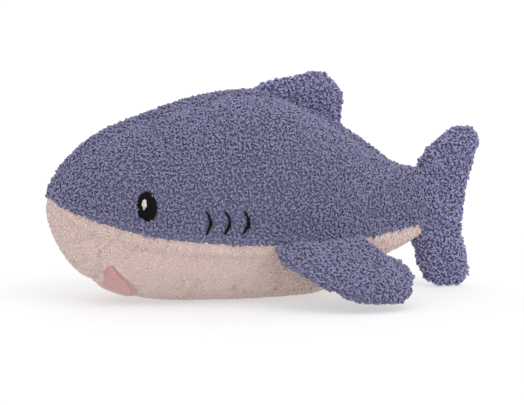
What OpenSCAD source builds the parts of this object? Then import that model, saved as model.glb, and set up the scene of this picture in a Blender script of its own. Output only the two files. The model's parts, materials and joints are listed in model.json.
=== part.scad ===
// Plush shark: curly back, short-pile belly, four stuffed fins.
// The nose points to -Y, up is +Z and the shark's left side is +X. It rests on z = 0,
// and the origin is on the floor under the middle of its length.

/* [Body] */
// Length of the body from the nose tip to the tail seam
body_length = 236; // [180:1:320]
// Widest width of the body
body_width = 120; // [80:1:170]
// Height of the back above the floor
body_height = 127; // [90:1:180]
// Thickness of the curly back fabric, pile included
back_fabric = 4; // [2:0.5:6]
// Thickness of the short-pile belly fabric
belly_fabric = 2.5; // [1.5:0.5:4]
// How far the soft belly settles flat on the floor
belly_settle = 2; // [0.5:0.1:4]

/* [Eyes] */
// Length of an embroidered eye along the body
eye_length = 10.6; // [6:0.2:16]
// Height of an embroidered eye
eye_height = 17.6; // [8:0.2:24]
// Distance of the eye centre behind the nose tip
eye_back = 50.8; // [35:0.2:65]
// Height of the eye centre above the floor
eye_up = 61; // [50:0.2:75]
// Length of the white highlight
highlight_length = 2.6; // [1.5:0.1:5]
// Height of the white highlight
highlight_height = 5.4; // [3:0.1:9]

/* [Gills] */
// Height of one gill arc
gill_height = 15; // [8:0.5:20]
// Width of the satin stitch
gill_width = 2.2; // [1.2:0.1:3]
// How far an arc bows towards the tail
gill_bow = 3; // [1:0.1:5]
// Distance from one arc to the next
gill_pitch = 11.4; // [8:0.1:14]
// Distance of the first arc behind the nose tip
gill_back = 82.6; // [75:0.2:95]
// Height of the middle of the arcs
gill_up = 51.6; // [46:0.2:60]

/* [Mouth] */
// Width of the smile from corner to corner
mouth_width = 64; // [40:1:80]
// Depth of the smile along the body
mouth_depth = 21; // [12:1:32]
// Distance of the mouth corners behind the nose tip
mouth_back = 29.5; // [26:0.5:40]

/* [Embroidery] */
// Height of stitched threads above the fabric
thread_height = 0.9; // [0.5:0.1:1.5]

/* [Dorsal fin] */
// Length of the dorsal fin, front of its base to its rear tip
dorsal_length = 60; // [45:1:75]
// Height of the dorsal fin above the back
dorsal_height = 24; // [15:1:35]
// Thickness of the stuffed dorsal fin
dorsal_thickness = 14; // [10:0.5:18]

/* [Pectoral fins] */
// Reach of a pectoral fin from its root to its outer edge
pectoral_reach = 60; // [45:1:75]
// Thickness of a stuffed pectoral fin
pectoral_thickness = 14; // [10:0.5:18]
// Angle a pectoral fin hangs below the horizontal
pectoral_droop = 30; // [10:1:34]

/* [Tail fin] */
// Height of the tail fin from tip to tip
tail_height = 100; // [70:1:130]
// Reach of the tail fin behind the tail seam
tail_reach = 39.5; // [30:0.5:50]
// Thickness of the stuffed tail fin
tail_thickness = 18; // [12:0.5:24]

/* [Sewing] */
// Thickness of the curly fin fabric, pile pressed flat
fin_fabric = 2.5; // [1.5:0.5:4]
// Slit between two panels along a seam
seam_gap = 0.4; // [0.3:0.05:0.8]
// Clearance between a fabric panel and the stuffing in it
fill_gap = 0.4; // [0.3:0.05:0.6]
// Clearance between a fin root and the body
root_gap = 1.2; // [0.8:0.1:2]

/* [Hidden] */

overall_length = body_length + tail_reach;
back_blue = [0.42, 0.41, 0.53];
belly_cream = [0.76, 0.69, 0.66];
mouth_pink = [0.75, 0.63, 0.62];
thread_black = [0.05, 0.05, 0.06];
thread_white = [0.92, 0.88, 0.87];
fill_white = [0.93, 0.93, 0.91];

// Body stations as shares: distance from the nose of body_length, half width,
// then top, underside, widest level and side seam as shares of body_height.
STATIONS = [
    [0.000, 0.00, 0.505, 0.505, 0.505, 0.505],
    [0.012, 0.25, 0.580, 0.350, 0.440, 0.482],
    [0.055, 0.46, 0.690, 0.190, 0.420, 0.438],
    [0.130, 0.66, 0.800, 0.090, 0.420, 0.388],
    [0.240, 0.83, 0.885, 0.024, 0.430, 0.336],
    [0.400, 0.97, 0.974, 0.000, 0.450, 0.301],
    [0.560, 1.00, 0.997, 0.000, 0.460, 0.286],
    [0.700, 0.86, 0.910, 0.016, 0.430, 0.283],
    [0.830, 0.56, 0.765, 0.110, 0.420, 0.288],
    [0.930, 0.33, 0.632, 0.205, 0.420, 0.305],
    [1.000, 0.21, 0.602, 0.265, 0.430, 0.318]
];
LAST = len(STATIONS) - 1;
// Fullness of a cross-section above and below its widest level
FULL_UP = 2.15;
FULL_LOW = 2.5;

function curve(a, b, c, d, t) =
    0.5 * (2 * b + (c - a) * t + (2 * a - 5 * b + 4 * c - d) * t * t + (3 * b - a - 3 * c + d) * t * t * t);
function power(v, p) = v <= 0 ? 0 : pow(v, p);

// ---- body surface ----
function mirror_nose(r, n) = [r[0], -r[1], for (k = [2:5]) 2 * n[k] - r[k]];
function station(k) = k < 0 ? mirror_nose(STATIONS[-k], STATIONS[0])
    : k > LAST ? 2 * STATIONS[LAST] - STATIONS[LAST - 1] : STATIONS[k];
function scaled(r) = [r[0] * body_length, r[1] * body_width / 2, r[2] * body_height,
    r[3] * (body_height + belly_settle) - belly_settle, r[4] * body_height, r[5] * body_height];
function body_at(s) = let (k = min(floor(s), LAST - 1))
    scaled(curve(station(k - 1), station(k), station(k + 1), station(k + 2), s - k));
// a = 90 at the top, 0 at the widest level, -90 underneath
function on_section(q, a) = [
    q[1] * power(cos(a), 2 / (a >= 0 ? FULL_UP : FULL_LOW)), q[0],
    a >= 0 ? q[4] + (q[2] - q[4]) * power(sin(a), 2 / FULL_UP)
        : max(0, q[4] - (q[4] - q[3]) * power(-sin(a), 2 / FULL_LOW))];
function full_section(q, v) = let (a = v > 90 ? 180 - v : v < -90 ? -180 - v : v, p = on_section(q, a))
    [abs(v) > 90 ? -p[0] : p[0], p[1], p[2]];
function angle_at_level(q, z) = z >= q[4]
    ? asin(pow(min(1, (z - q[4]) / max(0.01, q[2] - q[4])), FULL_UP / 2))
    : -asin(pow(min(1, (q[4] - z) / max(0.01, q[4] - q[3])), FULL_LOW / 2));
function angle_off_centre(q, x) = acos(pow(min(1, x / max(0.01, q[1])), FULL_UP / 2));
function find(y, lo = 0, hi = LAST, n = 22) = n == 0 ? (lo + hi) / 2
    : let (m = (lo + hi) / 2) body_at(m)[0] < y ? find(y, m, hi, n - 1) : find(y, lo, m, n - 1);
function side_x(y, z) = let (q = body_at(find(y))) z >= q[4]
    ? q[1] * power(1 - power((z - q[4]) / (q[2] - q[4]), FULL_UP), 1 / FULL_UP)
    : q[1] * power(1 - power((q[4] - z) / (q[4] - q[3]), FULL_LOW), 1 / FULL_LOW);
function under_z(x, y) = let (q = body_at(find(y)))
    max(0, q[4] - (q[4] - q[3]) * power(1 - power(abs(x) / q[1], FULL_LOW), 1 / FULL_LOW));
function ridge_z(y) = body_at(find(y))[2];
function seam_point(y) = let (q = body_at(find(y))) on_section(q, angle_at_level(q, q[5]));

function unit(v) = v / max(1e-9, norm(v));
// inward step of length d at station s, section angle v
function inset(s, v, d) = let (
        q = body_at(s), ds = 0.02, dv = 1.5, p = full_section(q, v),
        along = full_section(body_at(min(LAST, s + ds)), v) - full_section(body_at(max(0.001, s - ds)), v),
        around = full_section(q, v + dv) - full_section(q, v - dv),
        n = unit(cross(along, around)))
    [p[0] - n[0] * d, min(body_length, p[1] - n[1] * d), p[2] - n[2] * d];

// ---- solids from grids of points ----
function grid_faces(nu, nv, base, flip) = [for (i = [0:nu - 2], j = [0:nv - 2])
    let (a = base + i * nv + j, b = a + 1, c = a + nv + 1, d = a + nv)
    each (flip ? [[a, c, b], [a, d, c]] : [[a, b, c], [a, c, d]])];
function join(a, b, flip) = [for (k = [0:len(a) - 2])
    each (flip ? [[a[k], b[k + 1], a[k + 1]], [a[k], b[k], b[k + 1]]]
        : [[a[k], a[k + 1], b[k + 1]], [a[k], b[k + 1], b[k]]])];
// A sheet with thickness: outer and inner grids of the same size
module sheet(outer, inner, flip = false) {
    nu = len(outer); nv = len(outer[0]); m = nu * nv;
    rim_a = [for (j = [0:nv - 1]) j];
    rim_b = [for (j = [0:nv - 1]) (nu - 1) * nv + j];
    rim_c = [for (i = [0:nu - 1]) i * nv];
    rim_d = [for (i = [0:nu - 1]) i * nv + nv - 1];
    polyhedron(
        points = concat([for (r = outer) each r], [for (r = inner) each r]),
        faces = concat(
            grid_faces(nu, nv, 0, flip), grid_faces(nu, nv, m, !flip),
            join(rim_a, [for (k = rim_a) k + m], !flip), join(rim_b, [for (k = rim_b) k + m], flip),
            join(rim_c, [for (k = rim_c) k + m], flip), join(rim_d, [for (k = rim_d) k + m], !flip)),
        convexity = 6);
}
// A closed bag: rings of points with a flat fan at each end
module bag(rings, flip = false) {
    nu = len(rings); nv = len(rings[0]);
    pts = concat([for (r = rings) each r],
        [[for (k = [0:2]) mean([for (p = rings[0]) p[k]])], [for (k = [0:2]) mean([for (p = rings[nu - 1]) p[k]])]]);
    a = nu * nv; b = a + 1; e = (nu - 1) * nv;
    polyhedron(points = pts, faces = concat(
        [for (i = [0:nu - 2], j = [0:nv - 1]) let (k = (j + 1) % nv, p = i * nv + j, q = i * nv + k,
            r = (i + 1) * nv + k, t = (i + 1) * nv + j)
            each (flip ? [[p, r, q], [p, t, r]] : [[p, q, r], [p, r, t]])],
        [for (j = [0:nv - 1]) let (k = (j + 1) % nv) flip ? [a, j, k] : [a, k, j]],
        [for (j = [0:nv - 1]) let (k = (j + 1) % nv) flip ? [b, e + k, e + j] : [b, e + j, e + k]]),
        convexity = 4);
}
function mean(v, k = 0, t = 0) = k == len(v) ? t / len(v) : mean(v, k + 1, t + v[k]);

// ---- body panels ----
PANEL_RINGS = 36;
PANEL_STEPS = 18;
panel_s = [for (i = [0:PANEL_RINGS]) 0.05 + (LAST - 0.05) * i / PANEL_RINGS];
function back_angles(q) = let (lo = angle_at_level(q, q[5] + seam_gap / 2), hi = angle_off_centre(q, seam_gap / 2))
    [for (j = [0:PANEL_STEPS]) lo + (hi - lo) * j / PANEL_STEPS];
function belly_angles(q) = let (e = angle_at_level(q, q[5] - seam_gap / 2), n = PANEL_STEPS + 4)
    [for (j = [0:n]) e + (-180 - 2 * e) * j / n];
module back_panel() {
    grid = [for (s = panel_s) [for (v = back_angles(body_at(s))) inset(s, v, 0)]];
    lining = [for (s = panel_s) [for (v = back_angles(body_at(s)))
        let (p = inset(s, v, back_depth(s))) [max(seam_gap / 2, p[0]), p[1], p[2]]]];
    color(back_blue) sheet(grid, lining);
}
// Both fabrics thin out to nothing deep where the panels meet at the nose
function nose_share(s) = min(1, 0.25 + s * 0.75);
function back_depth(s) = back_fabric * nose_share(s);
function belly_depth(s) = belly_fabric * nose_share(s);

module belly_panel() {
    grid = [for (s = panel_s) [for (v = belly_angles(body_at(s))) inset(s, v, 0)]];
    lining = [for (s = panel_s) [for (v = belly_angles(body_at(s))) inset(s, v, belly_depth(s))]];
    color(belly_cream) sheet(grid, lining, true);
}

module body_stuffing() {
    n = 32;
    m = 24;
    ss = [for (i = [0:m]) 0.6 + (LAST - 0.05 - 0.6) * i / m];
    depth = back_fabric + fill_gap;
    color(fill_white) bag([for (s = ss) let (q = body_at(s), seam = angle_at_level(q, q[5]))
        [for (j = [0:n - 1]) let (v = -180 + 360 * j / n, a = abs(v) > 90 ? -(180 - abs(v)) * (v < 0 ? 1 : -1) : v,
            under = min(1, max(0, (seam - a) / 25)))
            inset(s, v, depth + (belly_fabric - back_fabric) * under)]]);
}

// ---- trims on the body ----
trim_gap = 0.12; // between the fabric and a trim on it
step_gap = 0.08; // between the eye and its highlight
slope_step = 0.5; // length over which a slope is measured
highlight_thickness = 0.35;
// Outward directions on the side and on the underside of the body
function side_out(y, z) = let (e = slope_step)
    unit([1, -(side_x(y + e, z) - side_x(y - e, z)) / (2 * e), -(side_x(y, z + e) - side_x(y, z - e)) / (2 * e)]);
function under_out(x, y) = let (e = slope_step)
    unit([(under_z(x + e, y) - under_z(x - e, y)) / (2 * e), (under_z(x, y + e) - under_z(x, y - e)) / (2 * e), -1]);
module eye_pad(len_y, len_z, y0, z0, lift, height) {
    rings = 4;
    n = 20;
    function at(r, t, up) = let (y = y0 + len_y / 2 * r * cos(t), z = z0 + len_z / 2 * r * sin(t),
            x = side_x(y, z))
        [x, y, z] + side_out(y, z) * up;
    top = [for (i = [1:rings]) let (up = lift + height * (1 - 0.55 * pow(i / rings, 5)))
        [for (j = [0:n - 1]) at(i / rings, 360 * j / n, up)]];
    low = [for (i = [1:rings]) [for (j = [0:n - 1]) at(i / rings, 360 * j / n, lift)]];
    bag(concat([for (i = [0:rings - 1]) low[i]], [for (i = [rings - 1:-1:0]) top[i]]), true);
}
module eye() color(thread_black) eye_pad(eye_length, eye_height, eye_back, eye_up, trim_gap, thread_height);
module eye_highlight() color(thread_white)
    eye_pad(highlight_length, highlight_height, eye_back - 0.8, eye_up + 1.5,
        trim_gap + thread_height + step_gap, highlight_thickness);

module gill_arc(y0) {
    steps = 10; n = 8; h = gill_height / 2;
    function mid(u) = let (z = gill_up - u * h, y = y0 + gill_bow * (1 - u * u)) [side_x(y, z), y, z];
    color(thread_black) bag([for (i = [0:steps]) let (u = -0.98 + 1.96 * i / steps, p = mid(u),
            along = unit(mid(u + 0.05) - mid(u - 0.05)), out = side_out(p[1], p[2]),
            across = unit(cross(along, out)), w = gill_width / 2 * sqrt(1 - u * u * 0.9), d = thread_height / 2)
        [for (j = [0:n - 1]) let (t = 360 * j / n + 22.5)
            p + out * (trim_gap + d + d * sin(t)) + across * w * cos(t)]]);
}
module gill_stitches() for (k = [0:2]) gill_arc(gill_back + k * gill_pitch);

patch_fabric = 0.8; // thickness of the mouth patch
least_patch = 0.5; // depth of the mouth patch at its corners
module mouth_patch() {
    nu = 22; nv = 7; half = mouth_width / 2;
    function lip(u) = mouth_back + 0.2 * mouth_depth * (1 - u * u);
    function jaw(u) = mouth_back + mouth_depth * sqrt(1 - pow(u, 6)) + least_patch;
    function at(u, v, up) = let (x = half * u, y = lip(u) + (jaw(u) - lip(u)) * v)
        [x, y, under_z(x, y)] + under_out(x, y) * up;
    uu = [for (i = [0:nu]) sin(-86 + 172 * i / nu)];
    color(mouth_pink) sheet([for (u = uu) [for (j = [0:nv]) at(u, j / nv, trim_gap + patch_fabric)]],
        [for (u = uu) [for (j = [0:nv]) at(u, j / nv, trim_gap)]], true);
}

// ---- stuffed fins ----
// A fin row holds: place along the root, inner edge, outer edge, half thickness.
// The first and last rows are points where the outline closes.
function fin_rows(rows) = [for (r = rows) [r[0], (r[1] + r[2]) / 2, (r[2] - r[1]) / 2, r[3]]];
function fin_row(rows, k) = k < 0 ? [rows[-k][0], 2 * rows[0][1] - rows[-k][1], -rows[-k][2], -rows[-k][3]]
    : k >= len(rows) ? let (m = 2 * (len(rows) - 1) - k, e = rows[len(rows) - 1])
        [rows[m][0], 2 * e[1] - rows[m][1], -rows[m][2], -rows[m][3]]
    : rows[k];
function fin_at(rows, s) = let (k = min(floor(s), len(rows) - 2))
    curve(fin_row(rows, k - 1), fin_row(rows, k), fin_row(rows, k + 1), fin_row(rows, k + 2), s - k);
FIN_FULL = 2.2;
// v = 0 at the outer edge, 180 at the inner edge; depth shrinks the section evenly
function fin_point(rows, s, v, depth, side) = let (
        q = fin_at(rows, s), n = len(rows) - 1, t0 = rows[0][0], t1 = rows[n][0], mid = (t0 + t1) / 2,
        t = mid + (q[0] - mid) * (1 - 2 * depth / (t1 - t0)),
        least = 0.35 - 0.03 * depth,
        chord = max(q[2] - depth, least * q[2]), h = max(q[3] - depth, least * q[3]))
    [t, q[1] + chord * sign(cos(v)) * power(abs(cos(v)), 2 / FIN_FULL),
        side * (seam_gap / 2) + h * sign(sin(v)) * power(abs(sin(v)), 2 / FIN_FULL)];
// place = [origin, along the root, outwards, normal]
function put(place, p) = place[0] + place[1] * p[0] + place[2] * p[1] + place[3] * p[2];
module fin_panel(rows, place, side, steps = 22, arc = 10) {
    r = fin_rows(rows); n = len(r) - 1;
    ss = [for (i = [0:steps]) 0.1 + (n - 0.2) * i / steps];
    vv = [for (j = [0:arc]) side > 0 ? 180 * j / arc : 180 + 180 * j / arc];
    outer = [for (s = ss) [for (v = vv) put(place, fin_point(r, s, v, 0, side))]];
    inner = [for (s = ss) [for (v = vv) put(place, fin_point(r, s, v, fin_fabric, side))]];
    color(back_blue) sheet(outer, inner, cross(place[1], place[2]) * place[3] > 0);
}
module fin_stuffing(rows, place, steps = 14, arc = 14) {
    r = fin_rows(rows); n = len(r) - 1;
    ss = [for (i = [0:steps]) 0.5 + (n - 1) * i / steps];
    color(fill_white) bag([for (s = ss) [for (j = [0:arc - 1])
        put(place, fin_point(r, s, 360 * j / arc, fin_fabric + fill_gap, 0))]],
        cross(place[1], place[2]) * place[3] > 0);
}

// Dorsal fin: rows run along the ridge of the back, sections stand up from it
dorsal_start = body_length * 0.542;
function base_z(y) = ridge_z(y) + root_gap;
dorsal_rows = let (l = dorsal_length, h = dorsal_height, t = dorsal_thickness / 2, a = dorsal_start,
        b = base_z(a), peak = base_z(a + 0.7 * l) - root_gap + h)
    [[a, b + 1.4, b + 1.4, 0],
    [a + 0.04 * l, base_z(a + 0.04 * l), b + 2.6, 0.4 * t],
    [a + 0.15 * l, base_z(a + 0.15 * l), peak - 0.22 * h, 0.78 * t],
    [a + 0.33 * l, base_z(a + 0.33 * l), peak - 0.14 * h, 0.95 * t],
    [a + 0.50 * l, base_z(a + 0.50 * l), peak - 0.06 * h, t],
    [a + 0.68 * l, base_z(a + 0.68 * l), peak, t],
    [a + 0.81 * l, base_z(a + 0.81 * l), peak - 0.07 * h, 0.92 * t],
    [a + 0.90 * l, base_z(a + 0.90 * l) + 1.8, peak - 0.30 * h, 0.8 * t],
    [a + 0.97 * l, peak - 0.98 * h, peak - 0.55 * h, 0.5 * t],
    [a + l, peak - 0.78 * h, peak - 0.78 * h, 0]];
dorsal_place = [[0, 0, 0], [0, 1, 0], [0, 0, 1], [1, 0, 0]];

// Pectoral fins: rows run along the side seam, sections reach outwards and down
pectoral_front = seam_point(body_length * 0.527);
pectoral_rear = seam_point(body_length * 0.79);
pectoral_mid = (pectoral_front + pectoral_rear) / 2;
pectoral_along = unit([pectoral_rear[0] - pectoral_front[0], pectoral_rear[1] - pectoral_front[1], 0]);
pectoral_out = [pectoral_along[1], -pectoral_along[0], 0];
pectoral_span = pectoral_out * cos(pectoral_droop) + [0, 0, -sin(pectoral_droop)];
pectoral_root = norm(pectoral_rear - pectoral_front);
function pectoral_inner(t) = let (c = pectoral_mid + pectoral_along * t, b = seam_point(c[1]))
    max(0, (b[0] - c[0]) * pectoral_out[0]) / cos(pectoral_droop) + root_gap;
pectoral_rows = let (r = pectoral_root / 2, e = pectoral_reach, t = pectoral_thickness / 2)
    [[-1.12 * r, 0.22 * e, 0.22 * e, 0],
    [-1.07 * r, 0.07 * e, 0.33 * e, 0.35 * t],
    [-0.95 * r, pectoral_inner(-0.95 * r), 0.42 * e, 0.62 * t],
    [-0.70 * r, pectoral_inner(-0.70 * r), 0.62 * e, 0.85 * t],
    [-0.40 * r, pectoral_inner(-0.40 * r), 0.83 * e, 0.96 * t],
    [-0.08 * r, pectoral_inner(-0.08 * r), 0.95 * e, t],
    [0.30 * r, pectoral_inner(0.30 * r), e, t],
    [0.68 * r, pectoral_inner(0.68 * r), e, 0.96 * t],
    [0.95 * r, pectoral_inner(0.95 * r) + 1, 0.93 * e, 0.86 * t],
    [1.12 * r, 0.24 * e, 0.83 * e, 0.7 * t],
    [1.30 * r, 0.39 * e, 0.71 * e, 0.45 * t],
    [1.42 * r, 0.55 * e, 0.55 * e, 0]];
pectoral_place = [pectoral_mid, pectoral_along, pectoral_span, cross(pectoral_along, pectoral_span)];

// Tail fin: rows run up the fin from the lower tip, sections reach back from the tail seam
tail_rows = let (h = tail_height, c = tail_reach, t = tail_thickness / 2, g = root_gap)
    [[1, 0.55 * c, 0.55 * c, 0],
    [1 + 0.04 * h, 0.24 * c, 0.77 * c, 0.6 * t],
    [1 + 0.13 * h, 0.07 * c, 0.81 * c, 0.84 * t],
    [1 + 0.23 * h, 0.01 * c, 0.79 * c, 0.94 * t],
    [1 + 0.35 * h, g, 0.76 * c, t],
    [1 + 0.55 * h, g, 0.80 * c, t],
    [1 + 0.72 * h, g, 0.88 * c, t],
    [1 + 0.83 * h, 0.12 * c, 0.96 * c, 0.95 * t],
    [1 + 0.92 * h, 0.35 * c, c, 0.8 * t],
    [1 + 0.975 * h, 0.54 * c, 0.95 * c, 0.55 * t],
    [1 + h, 0.76 * c, 0.76 * c, 0]];
tail_place = [[0, body_length, 0], [0, 0, 1], [0, 1, 0], [1, 0, 0]];

module centred() translate([0, -overall_length / 2, 0]) children();
module right_side() mirror([1, 0, 0]) children();

module back_panel_left() centred() back_panel();
module back_panel_right() centred() right_side() back_panel();
module eye_left() centred() eye();
module eye_right() centred() right_side() eye();
module eye_highlight_left() centred() eye_highlight();
module eye_highlight_right() centred() right_side() eye_highlight();
module gill_stitches_left() centred() gill_stitches();
module gill_stitches_right() centred() right_side() gill_stitches();
module dorsal_panel_left() centred() fin_panel(dorsal_rows, dorsal_place, 1, 20, 10);
module dorsal_panel_right() centred() fin_panel(dorsal_rows, dorsal_place, -1, 20, 10);
module dorsal_stuffing() centred() fin_stuffing(dorsal_rows, dorsal_place);
module pectoral_left_upper() centred() fin_panel(pectoral_rows, pectoral_place, -1);
module pectoral_left_lower() centred() fin_panel(pectoral_rows, pectoral_place, 1);
module pectoral_left_stuffing() centred() fin_stuffing(pectoral_rows, pectoral_place);
module pectoral_right_upper() right_side() pectoral_left_upper();
module pectoral_right_lower() right_side() pectoral_left_lower();
module pectoral_right_stuffing() right_side() pectoral_left_stuffing();
module tail_panel_left() centred() fin_panel(tail_rows, tail_place, 1);
module tail_panel_right() centred() fin_panel(tail_rows, tail_place, -1);
module tail_stuffing() centred() fin_stuffing(tail_rows, tail_place, 18);

back_panel_left();
back_panel_right();
centred() belly_panel();
centred() mouth_patch();
eye_left();
eye_right();
eye_highlight_left();
eye_highlight_right();
gill_stitches_left();
gill_stitches_right();
centred() body_stuffing();
dorsal_panel_left();
dorsal_panel_right();
dorsal_stuffing();
pectoral_left_upper();
pectoral_left_lower();
pectoral_left_stuffing();
pectoral_right_upper();
pectoral_right_lower();
pectoral_right_stuffing();
tail_panel_left();
tail_panel_right();
tail_stuffing();
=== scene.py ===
"""Plush shark: curly back, short-pile belly, embroidered face and four stuffed fins.

The sewn panels are cut from one stuffed form, puffed up between their seams by a short cloth
simulation, and then covered with curls. Every length is in metres, in the frame's own axes:
the nose points to -Y, up is +Z and the shark's left side is +X.
"""
import json
import logging
import math
from dataclasses import dataclass, field
from enum import Enum
from functools import cache

import bpy
import numpy as np
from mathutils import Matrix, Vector
from mathutils.bvhtree import BVHTree

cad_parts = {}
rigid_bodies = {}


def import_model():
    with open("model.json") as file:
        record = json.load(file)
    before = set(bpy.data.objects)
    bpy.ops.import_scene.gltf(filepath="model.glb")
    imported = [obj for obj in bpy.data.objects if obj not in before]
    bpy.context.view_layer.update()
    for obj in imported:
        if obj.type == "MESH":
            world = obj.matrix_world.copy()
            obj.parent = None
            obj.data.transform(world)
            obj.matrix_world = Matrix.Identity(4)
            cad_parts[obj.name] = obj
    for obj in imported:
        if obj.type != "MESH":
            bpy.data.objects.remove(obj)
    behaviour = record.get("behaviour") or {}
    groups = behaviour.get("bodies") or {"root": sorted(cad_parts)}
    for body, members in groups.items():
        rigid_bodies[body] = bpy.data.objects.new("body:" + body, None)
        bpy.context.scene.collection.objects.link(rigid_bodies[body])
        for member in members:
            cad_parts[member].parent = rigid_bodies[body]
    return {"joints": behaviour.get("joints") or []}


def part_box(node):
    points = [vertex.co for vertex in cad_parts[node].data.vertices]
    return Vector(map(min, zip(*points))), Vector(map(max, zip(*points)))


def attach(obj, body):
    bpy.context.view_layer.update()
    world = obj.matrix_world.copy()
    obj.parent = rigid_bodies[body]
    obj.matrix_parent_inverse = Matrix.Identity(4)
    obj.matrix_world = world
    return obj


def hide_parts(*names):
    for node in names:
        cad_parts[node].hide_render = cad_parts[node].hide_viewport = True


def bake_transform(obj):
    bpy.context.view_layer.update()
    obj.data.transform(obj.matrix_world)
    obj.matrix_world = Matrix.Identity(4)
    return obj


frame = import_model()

MM = 0.001
log = logging.getLogger("plush shark")
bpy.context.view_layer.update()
X, Y, Z = np.eye(3)


class Side(Enum):
    """A side of the shark, by the sign of its X."""

    LEFT = 1
    RIGHT = -1


class Fill(Enum):
    """How tightly a padded piece is stuffed, from 0 to 1."""

    FIRM = 0.8
    SOFT = 0.6


class Seed(Enum):
    """The fixed seed of each random scatter."""

    BACK = 11
    BELLY = 17
    DORSAL = 23
    PECTORAL = 37
    TAIL = 53


# ---------------------------------------------------------------- curves and grids


def spline(rows: np.ndarray, s: np.ndarray) -> np.ndarray:
    """Follow a smooth curve through rows of numbers.

    Args:
        rows: One row for each knot, with an extra row before the first and after the last.
        s: Places along the curve, 0 at the first real knot and counting one for each knot.

    Returns:
        One row for each place.
    """
    k = np.clip(np.floor(s).astype(int), 0, len(rows) - 4)
    t = (s - k)[:, None]
    a, b, c, d = rows[k], rows[k + 1], rows[k + 2], rows[k + 3]
    return 0.5 * (2 * b + (c - a) * t + (2 * a - 5 * b + 4 * c - d) * t**2 + (3 * b - a - 3 * c + d) * t**3)


def spow(value: np.ndarray, power: float) -> np.ndarray:
    """Raise the size of a value to a power and keep its sign."""
    return np.sign(value) * np.abs(value) ** power


def unit(vectors: np.ndarray) -> np.ndarray:
    """Scale vectors to length one."""
    return vectors / np.maximum(np.linalg.norm(vectors, axis=-1, keepdims=True), 1e-12)


def grid_normals(points: np.ndarray, closed: bool) -> np.ndarray:
    """Give the outward normal at each point of a grid of rings.

    Args:
        points: Rings of points, of shape (rings, columns, 3).
        closed: Whether the last column joins the first.

    Returns:
        Normals of the same shape as points.
    """
    along = np.gradient(points, axis=0)
    if closed:
        around = np.roll(points, -1, axis=1) - np.roll(points, 1, axis=1)
    else:
        around = np.gradient(points, axis=1)
    return unit(np.cross(along, around))


def quads(rings: int, columns: int, base: int = 0, closed: bool = False, flip: bool = False) -> list[tuple]:
    """List the faces of a grid of points, looking the way that grid_normals gives.

    Args:
        rings: Number of rings.
        columns: Points in each ring.
        base: Index of the first point.
        closed: Whether the last column joins the first.
        flip: Whether the faces look the other way.

    Returns:
        Faces as tuples of four point indices.
    """
    faces = []
    for i in range(rings - 1):
        for j in range(columns if closed else columns - 1):
            k = (j + 1) % columns
            face = (base + i * columns + j, base + (i + 1) * columns + j,
                    base + (i + 1) * columns + k, base + i * columns + k)
            faces.append(face[::-1] if flip else face)
    return faces


def face_outwards(obj: bpy.types.Object) -> bpy.types.Object:
    """Turn a closed mesh's faces outwards, judged by the sign of its volume.

    Args:
        obj: The mesh object.

    Returns:
        The same object.
    """
    mesh = obj.data
    points = coordinates(mesh)
    volume = 0.0
    for face in mesh.polygons:
        ring = points[list(face.vertices)]
        volume += sum(np.dot(ring[0], np.cross(ring[k], ring[k + 1])) for k in range(1, len(ring) - 1))
    if volume < 0:
        mesh.flip_normals()
    return obj


def new_object(name: str, points: np.ndarray, faces: list[tuple], smooth: bool = True) -> bpy.types.Object:
    """Make a mesh object at the origin.

    Args:
        name: The piece's name.
        points: Its points, of shape (n, 3).
        faces: Its faces, as tuples of point indices.
        smooth: Whether it is shaded smooth.

    Returns:
        The linked object.
    """
    mesh = bpy.data.meshes.new(name)
    mesh.from_pydata([tuple(p) for p in points], [], faces)
    mesh.update()
    mesh.polygons.foreach_set("use_smooth", [smooth] * len(mesh.polygons))
    obj = bpy.data.objects.new(name, mesh)
    bpy.context.scene.collection.objects.link(obj)
    return obj


def coordinates(mesh: bpy.types.Mesh) -> np.ndarray:
    """Read a mesh's points into an array.

    Args:
        mesh: The mesh.

    Returns:
        Its points, of shape (n, 3).
    """
    flat = np.zeros(len(mesh.vertices) * 3)
    mesh.vertices.foreach_get("co", flat)
    return flat.reshape(-1, 3)


def shell(name: str, outer: np.ndarray, normal: np.ndarray, depth: float) -> bpy.types.Object:
    """Make a cloth panel: an outer grid, a lining parallel to it and the cut edges between them.

    Args:
        name: The piece's name.
        outer: The panel's outer points, of shape (rings, columns, 3).
        normal: The outward normal at each of them.
        depth: Thickness of the cloth.

    Returns:
        A closed mesh object with a flat layout of its faces for baking.
    """
    rings, columns = outer.shape[:2]
    base = rings * columns
    faces = quads(rings, columns) + quads(rings, columns, base, flip=True)
    last_ring = [(rings - 1) * columns + j for j in range(columns)]
    first_column = [i * columns for i in range(rings)]
    last_column = [i * columns + columns - 1 for i in range(rings)]
    for rim in (list(range(columns)), last_ring[::-1], first_column[::-1], last_column):
        faces += [(a, b, b + base, a + base) for a, b in zip(rim[:-1], rim[1:])]
    lining = outer - normal * depth
    obj = new_object(name, np.concatenate([outer.reshape(-1, 3), lining.reshape(-1, 3)]), faces)
    u, v = np.meshgrid(np.linspace(0.01, 0.99, rings), np.linspace(0.01, 0.48, columns), indexing="ij")
    flat = np.stack([u, v], -1).reshape(-1, 2)
    place_uv(obj, np.concatenate([flat, flat + (0, 0.5)]))
    return face_outwards(obj)


def place_uv(obj: bpy.types.Object, by_point: np.ndarray) -> None:
    """Give a mesh the map that it is baked on.

    Args:
        obj: The mesh object.
        by_point: One place on the map for each of its points.
    """
    layer = obj.data.uv_layers.new(name="OFBake")
    loops = np.zeros(len(obj.data.loops), int)
    obj.data.loops.foreach_get("vertex_index", loops)
    layer.data.foreach_set("uv", by_point[loops].astype(np.float32).ravel())


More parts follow.
